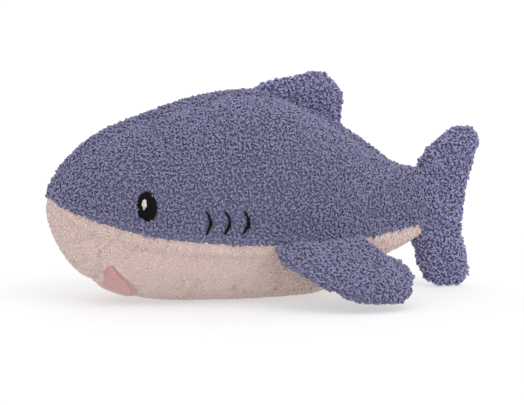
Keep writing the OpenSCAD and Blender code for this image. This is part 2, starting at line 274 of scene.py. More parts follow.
def bag(name: str, rings: np.ndarray) -> bpy.types.Object:
    """Make a closed bag from rings of points, with a fan over each end.

    Args:
        name: The bag's name.
        rings: Points of shape (rings, columns, 3).

    Returns:
        The bag, with its faces outwards.
    """
    count, columns = rings.shape[:2]
    points = np.concatenate([rings.reshape(-1, 3), rings[:1].mean(1), rings[-1:].mean(1)])
    first, last, end = count * columns, count * columns + 1, (count - 1) * columns
    faces = quads(count, columns, 0, True)
    for j in range(columns):
        k = (j + 1) % columns
        faces += [(first, j, k), (last, end + k, end + j)]
    return face_outwards(new_object(name, points, faces))


@dataclass(frozen=True)
class Puffing:
    """How the cloth simulation puffs up a sewn bag.

    The slack is how much longer the cloth is than the bag's outline.
    """

    pressure: float = 200.0
    slack: float = 0.035
    frames: int = 16
    quality: int = 5
    mass: float = 0.003
    stretch: float = 15
    shear: float = 6
    bending: float = 2


def inflate(obj: bpy.types.Object, pinned: np.ndarray, limit: float,
            puffing: Puffing = Puffing()) -> np.ndarray:
    """Puff a closed bag up between its pinned seams with a short cloth simulation.

    Args:
        obj: The bag. It is removed afterwards.
        pinned: Indices of the points that the seams hold.
        limit: The furthest that a point may move.
        puffing: Settings of the simulation.

    Returns:
        The bag's points afterwards.
    """
    rest = coordinates(obj.data)
    moved = rest.copy()
    group = obj.vertex_groups.new(name="seams")
    group.add([int(i) for i in pinned], 1.0, "REPLACE")
    cloth = obj.modifiers.new("Cloth", "CLOTH").settings
    cloth.use_pressure = True
    cloth.uniform_pressure_force = puffing.pressure
    cloth.shrink_min = -puffing.slack
    cloth.vertex_group_mass = group.name
    cloth.effector_weights.gravity = 0
    cloth.quality = puffing.quality
    cloth.mass = puffing.mass
    cloth.tension_stiffness = cloth.compression_stiffness = puffing.stretch
    cloth.shear_stiffness = puffing.shear
    cloth.bending_stiffness = puffing.bending
    scene = bpy.context.scene
    for number in range(1, puffing.frames + 1):
        scene.frame_set(number)
    shape = obj.evaluated_get(bpy.context.evaluated_depsgraph_get()).to_mesh()
    moved = coordinates(shape)
    scene.frame_set(1)
    bpy.data.objects.remove(obj)
    step = np.where(np.isfinite(moved), moved - rest, 0)
    size = np.linalg.norm(step, axis=1, keepdims=True)
    return rest + step * np.minimum(1, limit / np.maximum(size, 1e-9))


# ---------------------------------------------------------------- finishes


class Ink:
    """A small helper that adds and links shader nodes in one tree."""

    def __init__(self, tree: bpy.types.NodeTree) -> None:
        """Keep the tree that the nodes go into."""
        self.tree = tree

    def add(self, kind: str, inputs: dict | None = None, **settings) -> bpy.types.Node:
        """Add a node.

        Args:
            kind: The node's type.
            inputs: Values or output sockets for its inputs, by name or number.
            **settings: Properties of the node.

        Returns:
            The new node.
        """
        node = self.tree.nodes.new(kind)
        for key, value in settings.items():
            setattr(node, key, value)
        for key, value in (inputs or {}).items():
            if isinstance(value, bpy.types.NodeSocket):
                self.tree.links.new(value, node.inputs[key])
            else:
                node.inputs[key].default_value = value
        return node

    @classmethod
    def group(cls, name: str, kind: str, inputs: dict[str, str], output: tuple[str, str]) -> "Ink":
        """Start a node group with named sockets.

        Args:
            name: The group's name.
            kind: The tree's type.
            inputs: The type of each input, by name.
            output: Name and type of the output.

        Returns:
            A helper for the new tree.
        """
        tree = bpy.data.node_groups.new(name, kind)
        for socket, socket_type in inputs.items():
            tree.interface.new_socket(socket, in_out="INPUT", socket_type=f"NodeSocket{socket_type}")
        tree.interface.new_socket(output[0], in_out="OUTPUT", socket_type=f"NodeSocket{output[1]}")
        return cls(tree)

    def end(self, result: bpy.types.NodeSocket) -> bpy.types.NodeTree:
        """Lead a result to the group's output and give the finished tree."""
        self.add("NodeGroupOutput", {0: result})
        return self.tree


def linear(red: int, green: int, blue: int) -> tuple[float, float, float, float]:
    """Turn a screen colour from 0 to 255 into the linear colour that shaders use."""
    parts = [c / 255 for c in (red, green, blue)]
    return (*[c / 12.92 if c <= 0.04045 else ((c + 0.055) / 1.055) ** 2.4 for c in parts], 1.0)


class ClothGroups:
    """Shader groups that several finishes share. Each is built once."""

    @staticmethod
    @cache
    def mottle() -> bpy.types.NodeTree:
        """Build the uneven colour of dyed cloth: broad patches and small specks.

        Returns:
            A group that gives one value about 0.5.
        """
        ink = Ink.group("cloth_mottle", "ShaderNodeTree",
                        {"Patch Scale": "Float", "Speck Scale": "Float", "Speck Share": "Float"},
                        ("Value", "Float"))
        given = ink.add("NodeGroupInput").outputs
        place = ink.add("ShaderNodeTexCoord").outputs["Object"]
        patch = ink.add("ShaderNodeTexNoise", {"Vector": place, "Scale": given["Patch Scale"], "Detail": 3.0})
        speck = ink.add("ShaderNodeTexNoise", {"Vector": place, "Scale": given["Speck Scale"], "Detail": 2.0})
        both = ink.add("ShaderNodeMix", {0: given["Speck Share"], 2: patch.outputs["Fac"],
                                         3: speck.outputs["Fac"]})
        return ink.end(both.outputs[0])

    @staticmethod
    @cache
    def fibre() -> bpy.types.NodeTree:
        """Build fine fibres that lie over each other.

        Returns:
            A group that gives their height.
        """
        ink = Ink.group("fibre_height", "ShaderNodeTree", {"Scale": "Float", "Stretch": "Vector"},
                        ("Height", "Float"))
        given = ink.add("NodeGroupInput").outputs
        place = ink.add("ShaderNodeTexCoord").outputs["Object"]
        drawn = ink.add("ShaderNodeVectorMath", {0: place, 1: given["Stretch"]}, operation="MULTIPLY")
        coarse = ink.add("ShaderNodeTexNoise", {"Vector": drawn.outputs[0], "Scale": given["Scale"],
                                                "Detail": 4.0, "Roughness": 0.65})
        return ink.end(coarse.outputs["Fac"])


class Surface:
    """A material under construction, with the nodes that cloth and thread have in common."""

    def __init__(self, name: str) -> None:
        """Start a plain material.

        Args:
            name: The material's name.
        """
        self.material = bpy.data.materials.new(name)
        self.material.use_nodes = True
        self.ink = Ink(self.material.node_tree)
        self.shader = self.material.node_tree.nodes["Principled BSDF"]

    def mottle(self, patch: float, speck: float, share: float) -> bpy.types.NodeSocket:
        """Add the unevenness of dyed cloth.

        Args:
            patch: Scale of the broad patches.
            speck: Scale of the small specks.
            share: Share of the specks, from 0 to 1.

        Returns:
            A value about 0.5.
        """
        sizes = {"Patch Scale": patch, "Speck Scale": speck, "Speck Share": share}
        return self.ink.add("ShaderNodeGroup", sizes, node_tree=ClothGroups.mottle()).outputs[0]

    def ramp(self, value: bpy.types.NodeSocket, *stops: tuple[float, tuple]) -> bpy.types.NodeSocket:
        """Turn a value into a colour.

        Args:
            value: The value.
            *stops: Values from 0 to 1 with the colour at each, lowest first.

        Returns:
            The colour.
        """
        node = self.ink.add("ShaderNodeValToRGB", {"Fac": value})
        elements = node.color_ramp.elements
        for number, (level, colour) in enumerate((stops[0], stops[-1])):
            elements[number].position = level
            elements[number].color = colour
        for level, colour in stops[1:-1]:
            elements.new(level).color = colour
        return node.outputs[0]

    def fibres(self, scale: float, stretch: tuple, strength: float, depth: float) -> None:
        """Raise fine fibres.

        Args:
            scale: How fine they are.
            stretch: How much finer they are along each axis.
            strength: Strength of the relief.
            depth: Depth of the relief.
        """
        fibre = self.ink.add("ShaderNodeGroup", {"Scale": scale, "Stretch": stretch},
                             node_tree=ClothGroups.fibre())
        bump = self.ink.add("ShaderNodeBump", {"Strength": strength, "Distance": depth,
                                               "Height": fibre.outputs[0]})
        self.ink.tree.links.new(bump.outputs[0], self.shader.inputs["Normal"])

    def dress(self, colour: bpy.types.NodeSocket, values: dict[str, object]) -> bpy.types.Material:
        """Set the colour and the plain values of the shader.

        Args:
            colour: The colour's socket.
            values: Values of the shader's own inputs, by name.

        Returns:
            The finished material.
        """
        self.ink.tree.links.new(colour, self.shader.inputs["Base Color"])
        for key, value in values.items():
            self.shader.inputs[key].default_value = value
        return self.material


@dataclass(frozen=True)
class CurlFinish:
    """Curly pile: dark at the roots with painted shade, lighter at the tips with painted light, each tuft a
    little different.
    """

    name: str
    root: tuple
    body: tuple
    tip: tuple
    spread: float = 0.10
    sheen: float = 0.25

    def build(self) -> bpy.types.Material:
        """Build the material, which reads the curls' own height and tone.

        Returns:
            The material.
        """
        surface = Surface(self.name)
        ink = surface.ink
        rise = ink.add("ShaderNodeAttribute", attribute_name="rise").outputs["Fac"]
        tone = ink.add("ShaderNodeAttribute", attribute_name="tone").outputs["Fac"]
        # colour by height: painted shade darkens the roots between the curls and painted light brightens
        # their tips
        colour = surface.ramp(rise, (0.08, self.root), (0.5, self.body), (1.0, self.tip))
        mottle = surface.mottle(26.0, 240.0, 0.4)
        mixed = ink.add("ShaderNodeMath", {0: tone, 1: mottle}, operation="ADD")
        gain = ink.add("ShaderNodeMapRange", {0: mixed.outputs[0], 1: 0.3, 2: 1.7, 3: 1 - self.spread,
                                              4: 1 + self.spread})
        tinted = ink.add("ShaderNodeVectorMath", {0: colour, 1: gain.outputs[0]}, operation="MULTIPLY")
        surface.fibres(2600.0, (1, 1, 1), 0.35, 0.2 * MM)
        return surface.dress(tinted.outputs[0], {"Roughness": 0.9, "Specular IOR Level": 0.2,
                                                 "Sheen Weight": self.sheen, "Sheen Roughness": 0.5})


@dataclass(frozen=True)
class ClothFinish:
    """Plain cloth: short pile, smooth patch cloth or the knitted backing under the curls."""

    name: str
    low: tuple
    high: tuple
    patch_scale: float = 30.0
    speck_scale: float = 420.0
    speck_share: float = 0.55
    fibre_scale: float = 1400.0
    stretch: tuple = (1, 1, 1)
    bump: float = 0.6
    depth: float = 0.5 * MM
    sheen: float = 0.4
    roughness: float = 0.85

    def build(self) -> bpy.types.Material:
        """Build the material.

        Returns:
            The material.
        """
        surface = Surface(self.name)
        mottle = surface.mottle(self.patch_scale, self.speck_scale, self.speck_share)
        colour = surface.ramp(mottle, (0.36, self.low), (0.66, self.high))
        surface.fibres(self.fibre_scale, self.stretch, self.bump, self.depth)
        return surface.dress(colour, {"Roughness": self.roughness, "Specular IOR Level": 0.25,
                                      "Sheen Weight": self.sheen, "Sheen Roughness": 0.45})


@dataclass(frozen=True)
class ThreadFinish:
    """Rayon embroidery thread: dark or light, with a soft shine."""

    name: str
    low: tuple
    high: tuple
    roughness: float = 0.6

    def build(self) -> bpy.types.Material:
        """Build the material.

        Returns:
            The material.
        """
        surface = Surface(self.name)
        colour = surface.ramp(surface.mottle(300.0, 1800.0, 0.5), (0.3, self.low), (0.75, self.high))
        surface.fibres(5200.0, (1, 0.2, 1), 0.4, 0.08 * MM)
        return surface.dress(colour, {"Roughness": self.roughness, "Specular IOR Level": 0.12})


class Wardrobe:
    """All the finishes of the shark, each built once."""

    def __init__(self) -> None:
        """Build the materials."""
        # each pile's root colour is darker with painted shade and its tip colour lighter with painted light
        self.curls = CurlFinish("curly_pile", linear(114, 112, 142), linear(128, 126, 160),
                                linear(132, 130, 164)).build()
        # pile of the dorsal and tail fins: a lighter copy of the curly pile, painted light where the fins
        # catch more light from above
        self.lit_fin_curls = CurlFinish("fin_pile", linear(121, 119, 153), linear(139, 137, 175),
                                    linear(143, 141, 179)).build()
        self.fleece = CurlFinish("belly_pile", linear(214, 191, 185), linear(224, 202, 196),
                                 linear(228, 208, 202), spread=0.05).build()
        self.backing = ClothFinish("curl_backing", linear(106, 104, 135), linear(118, 116, 150),
                                   bump=0.5).build()
        self.belly = ClothFinish("short_pile", linear(208, 184, 178), linear(224, 202, 196), bump=0.9,
                                 depth=0.7 * MM, sheen=0.3).build()
        self.mouth = ClothFinish("mouth_cloth", linear(178, 134, 132), linear(196, 156, 154), bump=0.35,
                                 depth=0.2 * MM, fibre_scale=2200.0).build()
        self.black = ThreadFinish("black_thread", linear(5, 5, 6), linear(16, 16, 18)).build()
        self.white = ThreadFinish("white_thread", linear(206, 196, 198), linear(228, 220, 222)).build()
        self.filling = ClothFinish("filling", linear(226, 226, 222), linear(244, 244, 242), bump=1.0,
                                   depth=2 * MM, fibre_scale=300.0).build()


# ---------------------------------------------------------------- curls and stitches


@dataclass
class CurlKit:
    """The few curl shapes that one pile is made of."""

    name: str
    shapes: tuple[tuple[float, float, float, float], ...]
    steps: int = 4
    sides: int = 3
    sunk: float = 0.5

    def __post_init__(self) -> None:
        """Make the curl meshes in a collection of their own."""
        self.collection = bpy.data.collections.new(self.name)
        self.tallest = max(height for _, _, height, _ in self.shapes) * MM
        for number, (turn, radius, height, thick) in enumerate(self.shapes):
            self._curl(number, math.radians(turn), radius * MM, height * MM, thick * MM)

    def _curl(self, number: int, turn: float, radius: float, height: float, thick: float) -> None:
        """Make one curl: a tapered tube that winds up from the cloth and bends over.

        Args:
            turn: How far it winds, in radians.
            radius: Radius of the winding.
            height: Height of its bend above the cloth.
            thick: Radius of the tube.
        """
        t = np.linspace(0, 1, self.steps + 1)
        angle = turn * (t - 0.5)
        path = np.stack([radius * np.cos(angle) - radius * math.cos(turn / 2) * 0.5, radius * np.sin(angle),
                         height * np.sin(np.pi * (0.12 + 0.72 * t)) - self.sunk * thick], -1)
        along = unit(np.gradient(path, axis=0))
        across = unit(np.cross(along, np.array([0.2, 0.1, 1.0])))
        up = np.cross(across, along)
        width = thick * np.sqrt(np.clip(1 - (2 * t - 0.95) ** 4, 0.15, 1))
        rings = []
        for j in range(self.sides):
            a = 2 * math.pi * j / self.sides
            rings.append(path + (across * math.cos(a) + up * math.sin(a)) * width[:, None])
        points = np.stack(rings, 1)
        faces = quads(self.steps + 1, self.sides, 0, True)
        last = self.steps * self.sides
        faces += [tuple(range(self.sides)), tuple(last + j for j in range(self.sides))[::-1]]
        obj = face_outwards(new_object(f"{self.name}_{number}", points.reshape(-1, 3), faces))
        bpy.context.scene.collection.objects.unlink(obj)
        self.collection.objects.link(obj)
        rise = obj.data.attributes.new("rise", "FLOAT", "POINT")
        share = np.clip(points[:, :, 2].ravel() / self.tallest, 0, 1)
        rise.data.foreach_set("value", share.astype(np.float32))
        u, v = np.meshgrid(np.linspace(0.08, 0.92, self.steps + 1), np.linspace(0.1, 0.9, self.sides),
                           indexing="ij")
        place_uv(obj, np.stack([u, v], -1).reshape(-1, 2))

    def clear(self) -> None:
        """Remove the curl shapes once every panel has its pile."""
        for obj in list(self.collection.objects):
            bpy.data.objects.remove(obj)
        bpy.data.collections.remove(self.collection)


# turn in degrees, then radius, height and thickness in millimetres
LONG_CURLS = ((230, 0.70, 1.6, 0.56), (300, 0.60, 1.8, 0.52), (190, 0.85, 1.4, 0.58), (380, 0.55, 1.9, 0.50),
              (260, 0.75, 1.7, 0.54), (150, 0.95, 1.3, 0.60), (110, 1.20, 1.5, 0.50))
SHORT_CURLS = ((200, 0.70, 0.60, 0.62), (260, 0.60, 0.70, 0.58), (130, 1.00, 0.50, 0.64),
               (170, 0.85, 0.65, 0.60))


class Trees:
    """The geometry node trees, each built once."""

    @staticmethod
    @cache
    def pile() -> bpy.types.NodeTree:
        """Scatter curls evenly over a panel, turned at random and fewer where 'cover' is low.

        Returns:
            The tree.
        """
        ink = Ink.group("curly_pile", "GeometryNodeTree",
                        {"Geometry": "Geometry", "Spacing": "Float", "Seed": "Int", "Curls": "Collection",
                         "Last Curl": "Int", "Lean": "Float", "Smallest": "Float", "Largest": "Float",
                         "Material": "Material"},
                        ("Geometry", "Geometry"))
        given = ink.add("NodeGroupInput").outputs
        seed = given["Seed"]
        cover = ink.add("GeometryNodeInputNamedAttribute", {"Name": "cover"}, data_type="FLOAT")
        scatter = ink.add("GeometryNodeDistributePointsOnFaces",
                          {"Mesh": given["Geometry"], "Distance Min": given["Spacing"], "Seed": seed,
                           "Density Factor": cover.outputs["Attribute"], "Density Max": 3.0e6},
                          distribute_method="POISSON")
        lean = ink.add("ShaderNodeCombineXYZ", {0: given["Lean"], 1: given["Lean"], 2: math.pi})
        back = ink.add("ShaderNodeVectorMath", {0: lean.outputs[0], "Scale": -1.0}, operation="SCALE")
        turn = ink.add("FunctionNodeRandomValue", {0: back.outputs[0], 1: lean.outputs[0], "Seed": seed},
                       data_type="FLOAT_VECTOR")
        rotate = ink.add("FunctionNodeRotateRotation", {0: scatter.outputs["Rotation"], 1: turn.outputs[0]},
                         rotation_space="LOCAL")
        size = ink.add("FunctionNodeRandomValue", {2: given["Smallest"], 3: given["Largest"], "Seed": seed},
                       data_type="FLOAT")
        curls = ink.add("GeometryNodeCollectionInfo", {"Collection": given["Curls"],
                                                       "Separate Children": True, "Reset Children": True})
        which = ink.add("FunctionNodeRandomValue", {4: 0, 5: given["Last Curl"], "Seed": seed},
                        data_type="INT")
        place = ink.add("GeometryNodeInstanceOnPoints",
                        {"Points": scatter.outputs["Points"], "Instance": curls.outputs[0],
                         "Pick Instance": True, "Instance Index": which.outputs[2],
                         "Rotation": rotate.outputs[0], "Scale": size.outputs[1]})
        tone = ink.add("FunctionNodeRandomValue", {"Seed": seed}, data_type="FLOAT")
        keep_tone = ink.add("GeometryNodeStoreNamedAttribute",
                            {"Geometry": place.outputs[0], "Name": "tone", "Value": tone.outputs[1]},
                            data_type="FLOAT", domain="INSTANCE")
        number = ink.add("GeometryNodeInputIndex")
        keep_number = ink.add("GeometryNodeStoreNamedAttribute",
                              {"Geometry": keep_tone.outputs[0], "Name": "tuft", "Value": number.outputs[0]},
                              data_type="INT", domain="INSTANCE")
        real = ink.add("GeometryNodeRealizeInstances", {"Geometry": keep_number.outputs[0]})
        dress = ink.add("GeometryNodeSetMaterial", {"Geometry": real.outputs[0],
                                                    "Material": given["Material"]})
        return ink.end(dress.outputs[0])

    @staticmethod
    @cache
    def satin() -> bpy.types.NodeTree:
        """Lay a thread along each line of a mesh of edges.

        Returns:
            The tree.
        """
        ink = Ink.group("satin_stitch", "GeometryNodeTree",
                        {"Geometry": "Geometry", "Radius": "Float", "Sides": "Int", "Material": "Material"},
                        ("Geometry", "Geometry"))
        given = ink.add("NodeGroupInput").outputs
        lines = ink.add("GeometryNodeMeshToCurve", {"Mesh": given["Geometry"]})
        ring = ink.add("GeometryNodeCurvePrimitiveCircle", {"Resolution": given["Sides"],
                                                            "Radius": given["Radius"]})
        tubes = ink.add("GeometryNodeCurveToMesh", {"Curve": lines.outputs[0],
                                                    "Profile Curve": ring.outputs[0], "Fill Caps": True})
        real = ink.add("GeometryNodeRealizeInstances", {"Geometry": tubes.outputs[0]})
        dress = ink.add("GeometryNodeSetMaterial", {"Geometry": real.outputs[0],
                                                    "Material": given["Material"]})
        return ink.end(dress.outputs[0])


def grow(obj: bpy.types.Object, tree: bpy.types.NodeTree, values: dict, name: str) -> bpy.types.Object:
    """Run a geometry node tree on an object and keep the plain mesh that it makes.

    Args:
        obj: The source, which is removed.
        tree: The node tree.
        values: Its input values, by input name.
        name: The new piece's name.

    Returns:
        The new object.
    """
    modifier = obj.modifiers.new("grow", "NODES")
    modifier.node_group = tree
    for item in tree.interface.items_tree:
        if item.in_out == "INPUT" and item.name in values:
            modifier[item.identifier] = values[item.name]
    obj.data.update()
    evaluated = obj.evaluated_get(bpy.context.evaluated_depsgraph_get())
    mesh = bpy.data.meshes.new_from_object(evaluated, preserve_all_data_layers=True,
                                           depsgraph=bpy.context.evaluated_depsgraph_get())
    obj.modifiers.remove(modifier)
    bpy.data.objects.remove(obj)
    mesh.name = name
    made = bpy.data.objects.new(name, mesh)
    bpy.context.scene.collection.objects.link(made)
    return made


def grow_pile(name: str, outer: np.ndarray, normal: np.ndarray, cover: np.ndarray, kit: CurlKit, seed: int,
              material: bpy.types.Material, spacing: float = 1.08 * MM, lean: float = 0.45,
              largest: float = 1.25) -> bpy.types.Object:
    """Cover part of a panel with curls.

    Args:
        name: The piece's name.
        outer: The panel's outer points, of shape (rings, columns, 3).
        normal: The outward normal at each of them.
        cover: How thick the pile is at each point, from 0 to 1.
        kit: The curl shapes.
        seed: Seed of the scatter.
        material: The curls' finish.
        spacing: Least distance between two curls.
        lean: How far a curl may lean over, in radians.

    Returns:
        The pile as one mesh object.
    """
    rings, columns = outer.shape[:2]
    inwards = bool((grid_normals(outer, False) * normal).sum() < 0)
    ground = new_object(f"{name}_ground", outer.reshape(-1, 3), quads(rings, columns, flip=inwards))
    layer = ground.data.attributes.new("cover", "FLOAT", "POINT")
    layer.data.foreach_set("value", cover.astype(np.float32).ravel())
    pile = grow(ground, Trees.pile(), {"Spacing": spacing, "Seed": seed, "Curls": kit.collection,
                                       "Last Curl": len(kit.shapes) - 1, "Lean": lean, "Smallest": 0.8,
                                       "Largest": largest, "Material": material}, name)
    mesh = pile.data
    tuft = np.zeros(len(mesh.vertices), np.int32)
    mesh.attributes["tuft"].data.foreach_get("value", tuft)
    loops = np.zeros(len(mesh.loops), int)
    mesh.loops.foreach_get("vertex_index", loops)
    uv = np.zeros(len(mesh.loops) * 2, np.float32)
    layer = mesh.uv_layers["OFBake"]
    layer.data.foreach_get("uv", uv)
    cells = math.ceil(math.sqrt(tuft.max() + 1))
    number = tuft[loops]
    cell = np.stack([number % cells, number // cells], -1)
    uv = (cell + 0.1 + 0.8 * uv.reshape(-1, 2)) / cells
    layer.data.foreach_set("uv", uv.astype(np.float32).ravel())
    mesh.attributes.remove(mesh.attributes["tuft"])
    mesh.polygons.foreach_set("use_smooth", [True] * len(mesh.polygons))
    return pile


def lay_stitches(name: str, lines: list[np.ndarray], radius: float, material: bpy.types.Material,
                 sides: int = 5) -> bpy.types.Object:
    """Lay a thread along each of the given lines.

    Args:
        name: The piece's name.
        lines: The lines, each an array of points.
        radius: The thread's radius.
        material: The thread's finish.
        sides: How many sides the thread has.

    Returns:
        All the threads as one mesh object.
    """
    points = np.concatenate(lines)
    edges, start = [], 0
    for line in lines:
        edges += [(start + k, start + k + 1) for k in range(len(line) - 1)]
        start += len(line)
    mesh = bpy.data.meshes.new(name)
    mesh.from_pydata([tuple(p) for p in points], edges, [])
    obj = bpy.data.objects.new(name, mesh)
    bpy.context.scene.collection.objects.link(obj)
    made = grow(obj, Trees.satin(), {"Radius": radius, "Sides": sides, "Material": material}, name)
    made.data.polygons.foreach_set("use_smooth", [True] * len(made.data.polygons))
    return made


def finish_piece(obj: bpy.types.Object, body: str, nodes: tuple[str, ...] = (),
                 material: bpy.types.Material | None = None, bend: tuple | None = None) -> bpy.types.Object:
    """Dress a piece and tie it to the frame, or, where a bend is given, bake its place into its points
    instead.

    Args:
        obj: The piece.
        body: The CAD body it moves with, where no bend is given.
        nodes: CAD nodes that it stands for.
        material: Its finish, if it has none yet.
        bend: Start and end of a stretch between the body and the fin. When it is given, the piece keeps its
            place baked into its points and is not tied to its body.

    Returns:
        The same piece.
    """
    if material is not None:
        obj.data.materials.clear()
        obj.data.materials.append(material)
    if bend is None:
        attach(obj, body)
    else:
        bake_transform(obj)
    if nodes:
        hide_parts(*nodes)
    log.info("%s: %d faces on %s", obj.name, len(obj.data.polygons), body)
    return obj


# ---------------------------------------------------------------- body


@dataclass
class BodyForm:
    """The stuffed shape that the body's panels are cut to."""

    nose: float = field(default_factory=lambda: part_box("back_panel_left")[0].y)
    tail: float = field(default_factory=lambda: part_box("back_panel_left")[1].y)
    half_width: float = field(default_factory=lambda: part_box("back_panel_left")[1].x)
    height: float = field(default_factory=lambda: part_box("back_panel_left")[1].z)
    settle: float = 2 * MM
    full_up: float = 2.15
    full_low: float = 2.5
    # shares: distance from the nose, half width, top, underside, widest level, side seam
    stations: tuple = (
        (0.000, 0.00, 0.505, 0.505, 0.505, 0.505),
        (0.012, 0.25, 0.580, 0.350, 0.440, 0.482),
        (0.055, 0.46, 0.690, 0.190, 0.420, 0.438),
        (0.130, 0.66, 0.800, 0.090, 0.420, 0.388),
        (0.240, 0.83, 0.885, 0.024, 0.430, 0.336),
        (0.400, 0.97, 0.974, 0.000, 0.450, 0.301),
        (0.560, 1.00, 0.997, 0.000, 0.460, 0.286),
        (0.700, 0.86, 0.910, 0.016, 0.430, 0.283),
        (0.830, 0.56, 0.765, 0.110, 0.420, 0.288),
        (0.930, 0.33, 0.632, 0.205, 0.420, 0.305),
        (1.000, 0.21, 0.602, 0.265, 0.430, 0.318),
    )

    def at(self, s: np.ndarray) -> np.ndarray:
        """Give the body's sections.

        Args:
            s: Places along the body, 0 at the nose and counting one for each station.

        Returns:
            One row for each place: y, half width, top, underside, widest level and seam level.
        """
        rows = np.array(self.stations)
        before = 2 * rows[0] - rows[1]
        before[0], before[1] = rows[1][0], -rows[1][1]
        rows = np.vstack([before, rows, 2 * rows[-1] - rows[-2]])
        q = spline(rows, np.asarray(s, float))
        length, height = self.tail - self.nose, self.height
        low = q[:, 3] * (height + self.settle) - self.settle
        return np.stack([self.nose + q[:, 0] * length, q[:, 1] * self.half_width, q[:, 2] * height, low,
                         q[:, 4] * height, q[:, 5] * height], -1)

    def place(self, y: float) -> float:
        """Find the place s where the body's axis passes a given y."""
        s = np.linspace(0, len(self.stations) - 1, 2000)
        return float(np.interp(y, self.at(s)[:, 0], s))

    def even_places(self, count: int) -> np.ndarray:
        """Give places at even steps along the outline of the body.

        Args:
            count: How many places.

        Returns:
            The places s, first to last.
        """
        s = np.linspace(0.03, len(self.stations) - 1, 3000)
        q = self.at(s)
        step = np.hypot(np.diff(q[:, 0]), np.hypot(np.diff(q[:, 1]), np.diff(q[:, 2])))
        run = np.concatenate([[0], np.cumsum(step)])
        return np.interp(np.linspace(0, run[-1], count), run, s)

    def points(self, q: np.ndarray, angle: np.ndarray) -> np.ndarray:
        """Give surface points.

        Args:
            q: Rows from at(), of shape (rings, 6).
            angle: Angles in radians, of shape (rings, columns): 90 degrees on top, 0 at the left side,
                -90 underneath and -180 at the right side.

        Returns:
            Points of shape (rings, columns, 3).
        """
        up = np.sin(angle) >= 0
        x = np.where(up, spow(np.cos(angle), 2 / self.full_up), spow(np.cos(angle), 2 / self.full_low))
        rise = np.abs(np.sin(angle)) ** (2 / np.where(up, self.full_up, self.full_low))
        y, half, top, low, wide = (q[:, k][:, None] for k in range(5))
        z = np.where(up, wide + (top - wide) * rise, np.maximum(0, wide - (wide - low) * rise))
        return np.stack([x * half, np.broadcast_to(y, x.shape), z], -1)

    def under(self, x: float, y: float) -> Vector:
        """Give the point on the underside at a place seen from below.

        Args:
            x: The place's x.
            y: The place's y.

        Returns:
            The point.
        """
        _, half, _, low, wide, _ = self.at(np.array([self.place(y)]))[0]
        share = min(abs(x) / half, 0.999)
        drop = (wide - low) * (1 - share**self.full_low) ** (1 / self.full_low)
        return Vector((x, y, max(0.0, wide - drop)))

    def seam_angle(self, q: np.ndarray) -> np.ndarray:
        """Give the angle of the left side seam in each section.

        Args:
            q: Rows from at().

        Returns:
            One angle for each row, in radians.
        """
        least = 1e-6
        top, low, wide, seam = q[:, 2], q[:, 3], q[:, 4], q[:, 5]
        above = np.clip((seam - wide) / np.maximum(top - wide, least), 0, 1) ** (self.full_up / 2)
        below = np.clip((wide - seam) / np.maximum(wide - low, least), 0, 1) ** (self.full_low / 2)
        return np.where(seam >= wide, np.arcsin(above), -np.arcsin(below))


